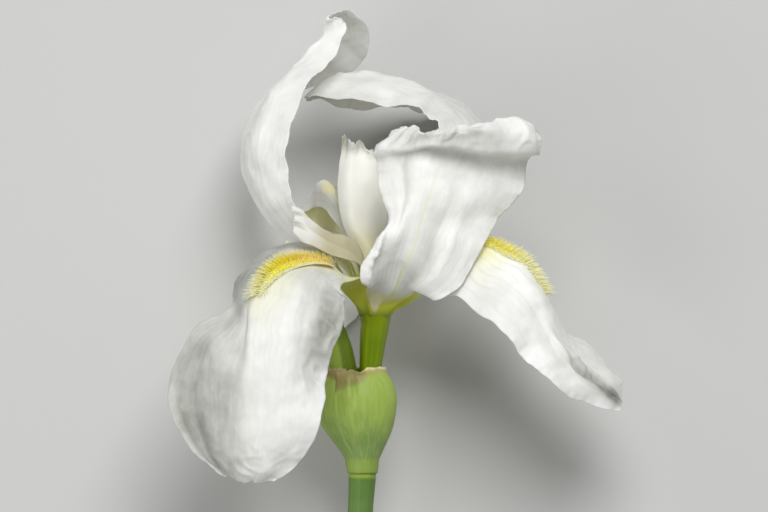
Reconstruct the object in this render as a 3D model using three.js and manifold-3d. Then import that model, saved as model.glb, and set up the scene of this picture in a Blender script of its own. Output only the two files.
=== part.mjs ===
// A bearded iris: one cut stem with one open flower and a side bud, lying on its back on a surface.
// Millimetres, +Z up. The pieces are set out in the flower's own frame, where Y runs up the stem,
// X to the right and Z towards the side that faces up, with the throat at the origin. The group
// "flower" then lays it down.
import * as THREE from 'three';
import { mergeVertices } from 'three/addons/utils/BufferGeometryUtils.js';
import Module from 'manifold-3d';

const solids = await Module();
solids.setup();

// Driving dimensions
const BLADE = 0.8; // thickness of petals, style arms and spathe valves
const GAP = 0.3; // clearance between pieces that touch
const TUBE_TOP = -3.7; // height where the flower tube ends and the claws begin
const STEM_TOP = -49.6; // height of the joint that the spathe grows from

// How the flower lies: leaned back, rolled a little, and lifted until its three low points rest. Then
// it is moved across and lengthwise until the origin is under the middle of its box.
const LEAN = THREE.MathUtils.degToRad(13.7);
const ROLL = THREE.MathUtils.degToRad(3.4);
const LIFT = 39;
const ACROSS = -7.95;
const LENGTHWISE = 10.9;

// Colour and roughness of each finish, seen from a step away
const PETAL = { color: 0xf3f2ec, roughness: 0.55 };
const STYLE_ARM = { color: 0xefeeda, roughness: 0.55 };
const BEARD_HAIR = { color: 0xe8b400, roughness: 0.7 };
const ANTHER = { color: 0xe9dfb2, roughness: 0.8 };
const TUBE_SKIN = { color: 0x7a9408, roughness: 0.4 };
const BRACT = { color: 0xa4bd62, roughness: 0.5 };
const STEM_SKIN = { color: 0x638348, roughness: 0.45 };

const flower = new THREE.Group();
flower.name = 'flower';
flower.rotation.set(LEAN, ROLL, 0);
flower.position.set(ACROSS, LENGTHWISE, LIFT);
flower.updateMatrix();

function add(name, geometry, finish) {
  geometry.computeVertexNormals();
  const material = new THREE.MeshStandardMaterial({ ...finish, metalness: 0 });
  const mesh = new THREE.Mesh(geometry, material);
  mesh.name = name;
  flower.add(mesh);
  return mesh;
}

// Smooth curve through stations of any width, such as [x, y, z] or [x, y, z, radius], at t from 0 to 1.
// The two ends carry on straight.
function smooth(stations, t) {
  const last = stations.length - 1;
  const place = Math.min(Math.max(t, 0), 1) * last;
  const i = Math.min(Math.floor(place), last - 1);
  const f = place - i;
  const mirrored = (a, b) => a.map((value, k) => 2 * value - b[k]);
  const p1 = stations[i];
  const p2 = stations[i + 1];
  const p0 = i > 0 ? stations[i - 1] : mirrored(p1, p2);
  const p3 = i < last - 1 ? stations[i + 2] : mirrored(p2, p1);
  return p1.map((value, k) => {
    const pull = (p2[k] - p0[k]) / 2;
    const push = (p3[k] - value) / 2;
    const rise = p2[k] - value;
    return value + f * pull + f * f * (3 * rise - 2 * pull - push) + f * f * f * (pull + push - 2 * rise);
  });
}

const vector = (station) => new THREE.Vector3(station[0], station[1], station[2]);

// Closed shell between an upper and a lower face, both given over u and v from 0 to 1. Both faces are
// split along the same diagonals.
function shell(upper, lower, uSteps, vSteps) {
  const points = [];
  for (const face of [upper, lower]) {
    for (let i = 0; i <= uSteps; i++) {
      for (let j = 0; j <= vSteps; j++) points.push(...face(i / uSteps, j / vSteps).toArray());
    }
  }
  const under = (uSteps + 1) * (vSteps + 1);
  const at = (i, j) => i * (vSteps + 1) + j;
  const faces = [];
  const quad = (a, b, c, d) => faces.push(a, b, c, a, c, d);
  for (let i = 0; i < uSteps; i++) {
    for (let j = 0; j < vSteps; j++) {
      const [a, b, c, d] = [at(i, j), at(i + 1, j), at(i + 1, j + 1), at(i, j + 1)];
      quad(a, b, c, d);
      faces.push(under + a, under + c, under + b, under + a, under + d, under + c);
    }
  }
  for (let i = 0; i < uSteps; i++) {
    quad(at(i + 1, 0), at(i, 0), under + at(i, 0), under + at(i + 1, 0));
    quad(at(i, vSteps), at(i + 1, vSteps), under + at(i + 1, vSteps), under + at(i, vSteps));
  }
  for (let j = 0; j < vSteps; j++) {
    quad(at(0, j), at(0, j + 1), under + at(0, j + 1), under + at(0, j));
    quad(at(uSteps, j + 1), at(uSteps, j), under + at(uSteps, j), under + at(uSteps, j + 1));
  }
  const geometry = new THREE.BufferGeometry();
  geometry.setAttribute('position', new THREE.Float32BufferAttribute(points, 3));
  geometry.setIndex(faces);
  return geometry;
}

// Middle surface of a petal. Each row across it holds one margin, the midrib, the other margin, and
// how far each half swells out between them, towards the side from which the rows run left to right
// while the petal points down.
function petalSurface(rows) {
  const quarter = (row, i, side) => {
    const before = vector(rows[Math.max(i - 1, 0)][1]);
    const along = vector(rows[Math.min(i + 1, rows.length - 1)][1]).sub(before);
    const across = vector(row[2]).sub(vector(row[0]));
    const out = along.cross(across).normalize().multiplyScalar(row[3 + side]);
    return vector(row[1]).lerp(vector(row[side * 2]), 0.5).add(out).toArray();
  };
  const rails = [
    rows.map((row) => row[0]),
    rows.map((row, i) => quarter(row, i, 0)),
    rows.map((row) => row[1]),
    rows.map((row, i) => quarter(row, i, 1)),
    rows.map((row) => row[2]),
  ];
  return (u, v) => vector(smooth(rails.map((rail) => smooth(rail, u)), v));
}

// Unit normal of a surface, on the side that swells
function normalOf(surface, u, v) {
  const step = 0.01;
  const along = surface(Math.min(u + step, 1), v).sub(surface(Math.max(u - step, 0), v));
  const across = surface(u, Math.min(v + step, 1)).sub(surface(u, Math.max(v - step, 0)));
  return along.cross(across).normalize();
}

// Surface with a wavy margin: the waves grow from nothing at the midrib to their full height at the edge
function ruffled(surface, height, waves, phase = 0) {
  return (u, v) => {
    const edge = Math.abs(2 * v - 1) ** 3 * Math.min(1, 4 * u);
    const side = v < 0.5 ? 0 : 1.3;
    const lift = height * edge * Math.sin(2 * Math.PI * waves * u + phase + side);
    return surface(u, v).addScaledVector(normalOf(surface, u, v), lift);
  };
}

// Surface whose far end is cut into teeth
function toothed(surface, depth, teeth) {
  return (u, v) => surface(u * (1 - depth * Math.abs(Math.sin(Math.PI * teeth * v))), v);
}

function blade(surface, uSteps, vSteps) {
  const face = (side) => (u, v) =>
    surface(u, v).addScaledVector(normalOf(surface, u, v), (side * BLADE) / 2);
  return shell(face(1), face(-1), uSteps, vSteps);
}

const petalBlade = (surface) => blade(surface, 22, 10);

// Round solid along a bent axis, through stations of [x, y, z, radius], with shallow lengthwise ribs
function stalk(stations, steps, sides, ribs = 0, ribDepth = 0) {
  const centre = (t) => vector(smooth(stations, t));
  const facing = new THREE.Vector3(0, 0, 1);
  const points = [];
  for (let i = 0; i <= steps; i++) {
    const t = i / steps;
    const along = centre(t + 0.01).sub(centre(t - 0.01)).normalize();
    const side = along.clone().cross(facing).normalize();
    const front = side.clone().cross(along);
    for (let j = 0; j < sides; j++) {
      const turn = (2 * Math.PI * j) / sides;
      const radius = smooth(stations, t)[3] * (1 + ribDepth * Math.cos(ribs * turn));
      const rim = centre(t).addScaledVector(side, radius * Math.cos(turn));
      points.push(...rim.addScaledVector(front, radius * Math.sin(turn)).toArray());
    }
  }
  const foot = points.length / 3;
  points.push(...centre(0).toArray(), ...centre(1).toArray());
  const faces = [];
  for (let j = 0; j < sides; j++) {
    const next = (j + 1) % sides;
    for (let i = 0; i < steps; i++) {
      const [a, b] = [i * sides + j, i * sides + next];
      faces.push(a, a + sides, b, b, a + sides, b + sides);
    }
    faces.push(foot, j, next, foot + 1, steps * sides + next, steps * sides + j);
  }
  const geometry = new THREE.BufferGeometry();
  geometry.setAttribute('position', new THREE.Float32BufferAttribute(points, 3));
  geometry.setIndex(faces);
  return geometry;
}

// Joining and cutting closed geometries
function toSolid(geometry) {
  const bare = geometry.clone();
  bare.deleteAttribute('normal');
  bare.deleteAttribute('uv');
  const welded = mergeVertices(bare, 1e-4);
  const vertProperties = new Float32Array(welded.getAttribute('position').array);
  const triVerts = new Uint32Array(welded.getIndex().array);
  return new solids.Manifold(new solids.Mesh({ numProp: 3, vertProperties, triVerts }));
}

function toGeometry(solid) {
  const { vertProperties, triVerts } = solid.getMesh();
  const geometry = new THREE.BufferGeometry();
  geometry.setAttribute('position', new THREE.BufferAttribute(new Float32Array(vertProperties), 3));
  geometry.setIndex(new THREE.BufferAttribute(new Uint32Array(triVerts), 1));
  return geometry;
}

// Piece that rests on the surface: whatever would reach below the surface is cut away flat
const TABLE = { side: 400, depth: 20 };

function seated(geometry) {
  const table = new THREE.BoxGeometry(TABLE.side, TABLE.side, TABLE.depth);
  table.translate(0, 0, -TABLE.depth / 2);
  table.applyMatrix4(flower.matrix.clone().invert());
  return toGeometry(toSolid(geometry).subtract(toSolid(table)));
}

// Repeatable random numbers from 0 to 1
function dice(seed) {
  let state = seed;
  return () => {
    state = (state * 1664525 + 1013904223) % 4294967296;
    return state / 4294967296;
  };
}

// Petals: rows of [margin, midrib, margin, swell, swell] from the claw to the tip
const FALL_LEFT = [
  [[-4.3, -3, 1.4], [-3.1, -3, 2.8], [-1.9, -3, 4.2], 0, 0],
  [[-9, 6, 3], [-9.5, 3.5, 8], [-3.5, 6.5, 10], 0, 0],
  [[-13.5, 14, 8], [-12.5, 10.5, 16], [-8.5, 5.5, 20], 1, 1],
  [[-22, 17, 12], [-21.5, 11.5, 25], [-10.5, 3, 30], 2.5, 3],
  [[-32.5, 14.5, 14], [-29.5, 8, 31], [-8, 1, 31], 3, 4],
  [[-41.5, 7.5, 18], [-34.5, -0.5, 35], [-8.5, -5.5, 33], 2, 4.5],
  [[-42, -2.5, 24], [-36, -10, 38], [-11, -13, 35.5], 1, 4.5],
  [[-54, -9, 24], [-37, -20.5, 39], [-13.5, -22.5, 38], 1.5, 4],
  [[-60.5, -22.5, 24], [-37.5, -32, 39], [-14.5, -31, 40], 1, 3],
  [[-58.5, -34, 25], [-38, -42.5, 37], [-17.5, -41, 41], 1, 2],
  [[-52.5, -45.5, 27], [-38.5, -50, 34], [-22.5, -48.5, 38], 1, 1],
  [[-44.5, -52, 29], [-38, -54, 31], [-29.5, -53, 34], 0, 0],
];
const FALL_RIGHT = [
  [[3.8, -3, 3.3], [4.4, -3, 1.5], [5.1, -3, -0.2], 0, 0],
  [[9, 1, 5.5], [9.5, -1.5, 3], [9, 1, -0.5], 0, 0],
  [[15, 3, 10], [15.5, 3, 5], [15, 6, -1], 1, 1],
  [[22.5, 1.5, 18], [24, 12, 12], [23, 10, -5], 2.5, 2.5],
  [[26, 0.5, 23], [33, 16.5, 16], [31.5, 12, -7], 3, 2],
  [[29.5, -3, 27], [39.5, 14, 18], [37.5, 9.5, -7], 3, 2],
  [[34.5, -6.5, 30], [45, 10.5, 20], [42.5, 5, -6], 3, 1.5],
  [[39.5, -11, 32], [49.5, 4, 21], [47.5, 0, -5], 3, 1.5],
  [[43, -15.5, 33], [53, -3, 22], [52, -6, -4], 3, 1],
  [[47, -19.5, 34], [55.5, -9.5, 22], [58, -10.5, 0], 3, 0.5],
  [[51.5, -23.5, 34], [59, -15.5, 23], [64, -13.5, 3], 3, 0.5],
  [[57, -28, 33], [63.5, -20, 24], [68.5, -17, 6], 2.5, 0.5],
  [[62.5, -30, 30], [68, -24, 24], [71.5, -21.5, 10], 2, 1],
  [[68, -32, 27], [71.5, -27.5, 23], [73, -25.5, 14], 1, 0.5],
  [[73, -33, 22], [73.5, -30.5, 20], [73.5, -28, 17], 0, 0],
];
const FALL_BACK = [
  [[1.4, -3, -4.7], [-0.5, -3, -4.3], [-2.4, -3, -4], 0, 0],
  [[1.2, 5, -9.5], [-2, 4, -9], [-4.5, 4.5, -9.5], 0, 0],
  [[0.5, 13, -15], [-4, 14, -13.5], [-7, 12, -15], 0.5, 0.5],
  [[-1, 22, -20], [-6.5, 23, -17.5], [-10, 20.5, -18], 1, 1],
  [[-3, 28.5, -25], [-9.5, 30, -22], [-14, 27, -24], 2, 3.5],
  [[-4, 30.5, -31], [-12, 33.5, -29], [-18, 28, -32], 2.5, 4],
  [[-4.5, 27, -37], [-14.5, 32, -36], [-22, 26, -39], 2, 3.5],
  [[-4.5, 20.5, -40], [-17, 27, -40.5], [-25, 21.5, -43], 1.5, 1.5],
  [[-3.5, 11.5, -41], [-18.5, 17.5, -42], [-28.5, 15, -44], 1, 1],
  [[-3.5, 3, -40], [-20, 6.5, -41], [-31.5, 7, -43], 1, 1],
  [[-5, -4.5, -37], [-21.5, -4, -38], [-32.5, -3.5, -40], 1, 1],
  [[-10, -10, -35], [-21.5, -12.5, -35], [-28.5, -11, -37], 0.5, 0.5],
];
const STANDARD_FRONT = [
  [[2.9, -3, 4], [1, -3, 4.3], [-0.8, -3, 4.6], 0, 0],
  [[8.5, 0.8, 8], [3, 0, 7.5], [-1.2, 1, 8], 0, 0],
  [[13.5, 3, 14], [5.5, 3.5, 12.5], [-1.5, 5, 14], 0.5, 0],
  [[19, 0.5, 22], [7, 9, 17], [-3.5, 5, 24], 1, -1],
  [[25.5, 4, 25], [8.5, 13, 21], [-2, 11, 27], 2, -1],
  [[30, 11.5, 23], [10.5, 18.5, 24], [0.5, 17.5, 26], 1.5, 0],
  [[34.5, 20, 20], [12, 25.5, 26], [3.5, 23.5, 22], 1.5, 1],
  [[39.5, 26.5, 17], [14, 32, 27], [3, 30, 18], 2, 1],
  [[44, 33, 15], [15.5, 38, 27], [1, 37, 16], 2, 1],
  [[46.5, 40.5, 16], [17, 43, 27], [0, 42, 15], 2, 1],
  [[49.5, 44.5, 23], [19, 46, 31], [0.5, 45, 15], 1.5, 1],
  [[49.5, 50, 26], [20.5, 49, 33], [4, 49.5, 14], 1, 0.5],
  [[44.5, 56, 25], [22.5, 51, 31], [8.5, 51.5, 12], 0, 0],
];
const STANDARD_LEFT = [
  [[-4.4, -3, 0.2], [-3.8, -3, -1.4], [-3.2, -3, -3.1], 0, 0],
  [[-6.5, 9.5, 1], [-8, 8.5, -4], [-8.5, 11, -9], 0.5, 0.5],
  [[-14.5, 19, 0], [-16.5, 14.5, -9], [-17, 18, -18], 2, 2],
  [[-19.5, 24, 3], [-23.5, 18, -12], [-24, 22.5, -27], 3, 3],
  [[-23, 28, 6], [-30.5, 24.5, -14], [-30, 27, -32], 3, 2.5],
  [[-25.5, 32.5, 8], [-35, 31, -15], [-33, 33.5, -36], 3.5, 2.5],
  [[-26, 39, 7], [-38.5, 38, -16], [-34.5, 40, -38], 3.5, 3],
  [[-25.5, 46.5, 6], [-39.5, 46, -16], [-34.5, 46.5, -38], 3.5, 3],
  [[-24.5, 54, 4], [-37, 53.5, -17], [-32, 53.5, -38], 3.5, 3],
  [[-22, 60.5, 1], [-32.5, 61, -18], [-27, 60.5, -38], 3.5, 3],
  [[-18.5, 66, -3], [-27, 67, -19], [-21, 64.5, -38], 3, 3],
  [[-15, 70.5, -7], [-21.5, 74, -20], [-13, 67.5, -38], 2.5, 2.5],
  [[-11.5, 74.5, -10], [-17, 77.5, -20], [-5, 70, -36], 2, 2.5],
  [[-9, 79, -12], [-15.5, 80.5, -18], [-1.5, 77, -31], 1.5, 3],
  [[-8.5, 82.5, -12], [-15, 83.5, -14.5], [-2.5, 84, -24], 1.5, 2.5],
  [[-10, 85, -12], [-13, 85.5, -12], [-7, 87.5, -17], 0.5, 1],
];
const STANDARD_BACK = [
  [[2.5, -3, -4.1], [3.7, -3, -2.8], [4.9, -3, -1.3], 0, 0],
  [[6.5, 12, -16], [9.5, 11.5, -10], [7.5, 11, -5], 1, 1],
  [[15, 27, -30], [20, 25.5, -19], [15, 26, -7], 3, 2],
  [[22.5, 39.5, -41], [28, 38, -25], [19, 37, -6], 3.5, 3.5],
  [[27, 48, -48], [33.5, 48, -30], [20, 46.5, -4], 3.5, 3.5],
  [[25.5, 54.5, -52], [31.5, 55, -33], [19, 52.5, -7], 2.5, 2.5],
  [[20, 57.5, -52], [25, 60, -33], [16.5, 55.5, -9], 2.5, 2.5],
  [[12, 58.5, -49], [15.5, 64, -31], [13.5, 57.5, -11], 2.5, 2.5],
  [[3.5, 58.5, -44], [6, 67.5, -28], [6.5, 58.5, -13], 2.5, 2.5],
  [[-5.5, 58, -38], [-4.5, 69, -26], [-2.5, 60, -14], 2.5, 2.5],
  [[-11, 58.5, -31], [-12.5, 68, -23], [-11, 60, -15], 2, 2],
  [[-16.5, 61, -25], [-18, 64.5, -20], [-16, 62, -15], 1, 1],
  [[-20.5, 60, -19], [-21.5, 61.5, -17], [-19.5, 61, -16], 0, 0],
];

// Style arms, one arching over each fall, with the same rows
const STYLE_LEFT = [
  [[-1.8, -3, 0.2], [-1, -3, 1.1], [-0.2, -3, 2], 0, 0],
  [[-3.5, 14, 3], [-5, 11.5, 8], [-3.5, 9.5, 11], 0.5, 0.5],
  [[-8.5, 19, 7], [-9, 15.5, 13], [-8, 12, 17], 1, 1],
  [[-14, 20.5, 11], [-14, 18, 17], [-12.5, 13.5, 20], 1, 1],
  [[-18.5, 23.5, 15], [-18.5, 21, 21], [-17.5, 16, 23], 1, 1],
  [[-21.5, 26.5, 18], [-21.5, 23.5, 24], [-21.5, 17.5, 26], 0.5, 0.5],
  [[-25, 27.5, 21], [-24, 24, 26], [-24.5, 20.5, 28], 0, 0],
];
const STYLE_RIGHT = [
  [[1.5, -3, 1.7], [1.9, -3, 0.6], [2.3, -3, -0.5], 0, 0],
  [[6.5, 7.5, 6], [7, 10, 3], [6.5, 12, -1], 0.5, 0.5],
  [[12, 11, 9], [12.5, 15.5, 5], [11.5, 18, 0], 1, 1],
  [[18, 15, 10], [18, 20, 6], [17, 23, 1], 1, 1],
  [[23, 19.5, 11], [22.5, 24.5, 7], [21.5, 27, 3], 1, 1],
  [[26, 23.5, 11], [26, 28, 8], [25.5, 31, 4], 0.5, 0.5],
];
const STYLE_BACK = [
  [[1.2, -3, -1.9], [0, -3, -1.7], [-1.2, -3, -1.5], 0, 0],
  [[3.5, 13, -7], [-1, 14, -4], [-5, 13, -6], 0.5, 0.5],
  [[4, 22.5, -10.5], [-4.5, 23, -7], [-9.5, 22.5, -9], 1, 1],
  [[4.5, 31.5, -14.5], [-5, 32, -11], [-11, 31.5, -12.5], 1, 1],
  [[4, 39, -17], [-5, 40.5, -14], [-10.5, 39.5, -15], 1, 1],
  [[3, 42, -17], [-4, 45, -15], [-10, 45, -15.5], 0.5, 0.5],
  [[0.5, 44.5, -15], [-4.5, 48, -14], [-9.5, 49.5, -12], 0, 0],
];

// Stamens, one under each style arm: a thin filament, then the long anther, in [x, y, z, radius]
const STAMEN_LEFT = [
  [-1.9, -3, 1.8, 0.35], [-4.5, 4, 6, 0.4], [-7.5, 10, 10, 0.4], [-9.5, 12.4, 11.5, 0.9],
  [-12, 14.5, 13.5, 1], [-14.5, 16.5, 15.5, 1], [-16.5, 18, 17.3, 0.4],
];
const STAMEN_RIGHT = [
  [3, -3, 1, 0.35], [6.5, 3, 2.5, 0.4], [11.5, 8.5, 5, 0.4], [14, 11, 6, 0.9],
  [17.5, 14, 6.5, 1], [20.5, 17, 7.5, 1], [22.5, 19, 8, 0.4],
];
const STAMEN_BACK = [
  [-0.2, -3, -2.8, 0.35], [-1.2, 4, -5.3, 0.4], [-2.5, 13, -8.5, 0.4], [-3.2, 17, -10, 0.9],
  [-4, 22, -11.5, 1], [-4.8, 27, -13.5, 1], [-5, 30, -15, 0.4],
];

// Green parts, in [x, y, z, radius]
const FLOWER_TUBE = [
  [-2.6, STEM_TOP + GAP, 0.4, 1.5], [-2.4, -46, 0.5, 1.5], [-1.2, -41, 0.8, 2], [-0.3, -35, 1, 3.2],
  [-0.4, -28, 0.8, 3.4], [-1, -21, 0.2, 3.2], [-0.7, -16, 0, 3.5], [-0.2, -11, 0, 3.9],
  [0.3, -7, 0, 4.2], [0.3, TUBE_TOP, 0, 4.8],
];
const SIDE_BUD = [
  [-4.9, STEM_TOP + GAP, -0.7, 0.6], [-5, -46, -0.7, 0.7], [-6.5, -41, -1, 2.1],
  [-8.3, -33, -1.3, 3.9], [-9, -24, 0, 4.3], [-10.5, -14, 0.5, 3.8], [-13.5, -5, 0, 2.8],
  [-16.5, 3, -0.5, 1.4], [-18.5, 7, -1, 0.5],
];
const STEM = [
  [-3.5, STEM_TOP, 0, 4.4], [-3.5, -51.2, 0, 4.65], [-3.5, -52.7, 0, 4.4], [-3.6, -55.5, -0.1, 4],
  [-4, -62, -0.5, 3.8], [-4.6, -75, -2, 3.8], [-5.1, -93, -5, 3.9], [-5.5, -115, -9, 4],
];

// Spathe: the bulb's outline at rising heights, as [height, centre, half width, half depth]
const SPATHE = [
  [STEM_TOP + GAP, -3.5, 4.2, 4.2], [-45, -3, 5.4, 5.2], [-41, -4.5, 8.6, 7.6], [-37.5, -5, 10.5, 9],
  [-33, -5.2, 11.6, 9.8], [-29, -5.2, 11.7, 9.8], [-25, -5.4, 10.8, 9], [-22, -5.9, 9.8, 8.2],
  [-19.6, -6, 9.1, 7.6], [-12, -7.5, 9.2, 7.2],
];

// A valve of the spathe: a strip of the bulb's outline from one turn to another. Turns are in degrees
// from the right side, with the front at 90. The inset and the rim's height are given over its width.
function valve(turns, inset, rim) {
  return (u, v) => {
    const turn = THREE.MathUtils.degToRad(THREE.MathUtils.lerp(turns[0], turns[1], v));
    const [y, centre, halfWidth, halfDepth] = smooth(SPATHE, u * rim(v));
    const x = centre + (halfWidth - inset(v)) * Math.cos(turn);
    return new THREE.Vector3(x, y, (halfDepth - inset(v)) * Math.sin(turn));
  };
}

// A beard: a low ridge along the midrib of a fall, from one place along it to another, set with hairs.
// The hairs grow long in the middle of its length and lean outwards.
const BEARD = { halfWidth: 2.6, ridge: 1, clearance: 0.5, hairLength: 2.7, hairRadius: 0.42, rows: 20 };

function beard(surface, from, to, seed) {
  const roll = dice(seed);
  const lift = BLADE / 2 + BEARD.clearance;
  const place = (u, sideways, height) => {
    const along = THREE.MathUtils.lerp(from, to, u);
    const span = surface(along, 0.55).distanceTo(surface(along, 0.45)) / 0.1;
    const v = 0.5 + sideways / span;
    return surface(along, v).addScaledVector(normalOf(surface, along, v), height);
  };
  const halfWidth = (u) => BEARD.halfWidth * (0.25 + 0.75 * Math.sin(Math.PI * (0.08 + 0.84 * u)));
  const crown = (v) => Math.sqrt(Math.max(0, 1 - (2 * v - 1) ** 2));
  const low = (u, v) => place(u, (2 * v - 1) * halfWidth(u), lift);
  const high = (u, v) => place(u, (2 * v - 1) * halfWidth(u), lift + 0.3 + BEARD.ridge * crown(v));
  let solid = toSolid(shell(high, low, 12, 4));
  for (let i = 0; i < BEARD.rows; i++) {
    for (const side of [-0.75, 0, 0.75]) {
      const u = (i + 0.3 + 0.4 * roll()) / BEARD.rows;
      const v = 0.5 + side * 0.45;
      const root = place(u, side * halfWidth(u) * 0.9, lift + 0.45);
      const out = place(u, side * halfWidth(u) * 1.9, lift + 2.5 + roll()).sub(root).normalize();
      const swept = place(Math.min(u + 0.12, 1), 0, lift).sub(place(u, 0, lift)).normalize();
      const pointing = out.addScaledVector(swept, 0.35 * roll()).normalize();
      const length = BEARD.hairLength * (0.45 + 0.55 * Math.sin(Math.PI * u)) * (0.8 + 0.3 * roll());
      const hair = new THREE.ConeGeometry(BEARD.hairRadius, length, 3);
      hair.translate(0, length / 2, 0);
      hair.applyQuaternion(new THREE.Quaternion().setFromUnitVectors(THREE.Object3D.DEFAULT_UP, pointing));
      hair.translate(root.x, root.y, root.z);
      solid = solid.add(toSolid(hair));
    }
  }
  return toGeometry(solid);
}

// Falls and their beards
const FALL_RUFFLE = { height: 0.9, waves: 4 };
const FALLS = {
  left: { rows: FALL_LEFT, beard: [0.2, 0.44], seed: 11, phase: 0 },
  right: { rows: FALL_RIGHT, beard: [0.22, 0.52], seed: 12, phase: 2 },
  back: { rows: FALL_BACK, beard: [0.2, 0.43], seed: 13, phase: 4 },
};
for (const [side, fall] of Object.entries(FALLS)) {
  const surface = petalSurface(fall.rows);
  const petal = petalBlade(ruffled(surface, FALL_RUFFLE.height, FALL_RUFFLE.waves, fall.phase));
  add(`fall_${side}`, side === 'back' ? seated(petal) : petal, PETAL);
  add(`beard_${side}`, beard(surface, ...fall.beard, fall.seed), BEARD_HAIR);
}

// Standards
const STANDARD_RUFFLE = { height: 0.8, waves: 5 };
const STANDARDS = { front: STANDARD_FRONT, left: STANDARD_LEFT, back: STANDARD_BACK };
for (const [side, rows] of Object.entries(STANDARDS)) {
  const petal = petalBlade(ruffled(petalSurface(rows), STANDARD_RUFFLE.height, STANDARD_RUFFLE.waves));
  add(`standard_${side}`, side === 'back' ? seated(petal) : petal, PETAL);
}

// Style arms, with toothed ends, and stamens
const STYLES = { left: STYLE_LEFT, right: STYLE_RIGHT, back: STYLE_BACK };
for (const [side, rows] of Object.entries(STYLES)) {
  add(`style_${side}`, blade(toothed(petalSurface(rows), 0.08, 4), 12, 8), STYLE_ARM);
}
const STAMENS = { left: STAMEN_LEFT, right: STAMEN_RIGHT, back: STAMEN_BACK };
for (const [side, stations] of Object.entries(STAMENS)) {
  add(`stamen_${side}`, stalk(stations, 18, 6), ANTHER);
}

// Spathe: the outer valve wraps round the inner one, which is tucked in where they overlap
const OUTER_TURNS = [123, -140];
const INNER_TURNS = [265, 108];
const fade = THREE.MathUtils.smoothstep;
const outerRim = (v) => 0.885 - 0.1 * Math.abs(2 * v - 1) ** 6;
const innerRim = (v) => 0.88 + 0.12 * Math.sin(Math.PI * Math.min(1, 3 * v)) ** 2;
const tucked = (v) => (BLADE + 2 * GAP) * (1 - fade(v, 0.3, 0.42) + fade(v, 0.78, 0.88));
add('spathe_outer', blade(valve(OUTER_TURNS, () => 0, outerRim), 14, 22), BRACT);
add('spathe_inner', blade(valve(INNER_TURNS, tucked, innerRim), 14, 12), BRACT);

// Tube, bud and stem
add('perianth_tube', stalk(FLOWER_TUBE, 27, 18, 6, 0.03), TUBE_SKIN);
add('side_bud', stalk(SIDE_BUD, 24, 12), BRACT);
add('stem', seated(stalk(STEM, 21, 16)), STEM_SKIN);

const iris = new THREE.Group();
iris.name = 'iris';
iris.add(flower);
iris.updateMatrixWorld(true);

export default iris;
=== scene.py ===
"""A bearded iris with one open white flower and a side bud, lying on its back on a pale floor.

The pieces are drawn in the flower's own frame, in millimetres: Y runs up the stem, X to the right and Z
towards the side that faces up, with the throat at the origin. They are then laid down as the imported
model lies.
"""

import math

import bpy
import numpy as np
from mathutils import Matrix, Vector


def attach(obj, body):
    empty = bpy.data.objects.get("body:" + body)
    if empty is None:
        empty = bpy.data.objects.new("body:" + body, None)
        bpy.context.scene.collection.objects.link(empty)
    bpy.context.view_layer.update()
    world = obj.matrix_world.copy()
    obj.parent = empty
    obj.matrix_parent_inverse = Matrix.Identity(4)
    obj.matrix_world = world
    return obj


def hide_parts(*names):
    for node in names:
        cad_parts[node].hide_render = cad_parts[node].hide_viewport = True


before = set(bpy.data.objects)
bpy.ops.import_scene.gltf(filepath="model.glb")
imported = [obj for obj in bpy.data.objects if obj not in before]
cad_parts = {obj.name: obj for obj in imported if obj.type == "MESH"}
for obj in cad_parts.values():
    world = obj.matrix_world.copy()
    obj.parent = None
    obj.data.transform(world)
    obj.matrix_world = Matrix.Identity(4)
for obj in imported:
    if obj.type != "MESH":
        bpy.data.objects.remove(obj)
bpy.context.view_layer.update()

bl_info = {
    "name": "Bearded Iris",
    "version": (1, 0, 0),
    "blender": (4, 5, 0),
    "location": "3D View > Sidebar > Iris",
    "description": "Grows the petals, beards, bud and stem of a bearded iris over its packed model",
    "category": "Object",
}

# How the flower lies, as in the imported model
MM = 0.001
LEAN = math.radians(13.7)
ROLL = math.radians(3.4)
PLACE = (-7.95, 10.9, 39)
LAID = (
    Matrix.Translation(Vector(PLACE) * MM)
    @ Matrix.Rotation(LEAN, 4, "X")
    @ Matrix.Rotation(ROLL, 4, "Y")
)

# Heights where the flower tube and the stem end, and the gap between pieces that grow out of each other
TUBE_TOP = -3.7
STEM_TOP = -49.6
GAP = 0.3

# Petals: rows of [margin, midrib, margin, swell, swell] from the claw to the tip
FALL_LEFT = [
    [[-4.3, -3, 1.4], [-3.1, -3, 2.8], [-1.9, -3, 4.2], 0, 0],
    [[-9, 6, 3], [-9.5, 3.5, 8], [-3.5, 6.5, 10], 0, 0],
    [[-13.5, 14, 8], [-12.5, 10.5, 16], [-8.5, 5.5, 20], 1, 1],
    [[-22, 17, 12], [-21.5, 11.5, 25], [-10.5, 3, 30], 2.5, 3],
    [[-32.5, 14.5, 14], [-29.5, 8, 31], [-8, 1, 31], 3, 4],
    [[-41.5, 7.5, 18], [-34.5, -0.5, 35], [-8.5, -5.5, 33], 2, 4.5],
    [[-42, -2.5, 24], [-36, -10, 38], [-11, -13, 35.5], 1, 4.5],
    [[-54, -9, 24], [-37, -20.5, 39], [-13.5, -22.5, 38], 1.5, 4],
    [[-60.5, -22.5, 24], [-37.5, -32, 39], [-14.5, -31, 40], 1, 3],
    [[-58.5, -34, 25], [-38, -42.5, 37], [-17.5, -41, 41], 1, 2],
    [[-52.5, -45.5, 27], [-38.5, -50, 34], [-22.5, -48.5, 38], 1, 1],
    [[-44.5, -52, 29], [-38, -54, 31], [-29.5, -53, 34], 0, 0],
]
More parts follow.
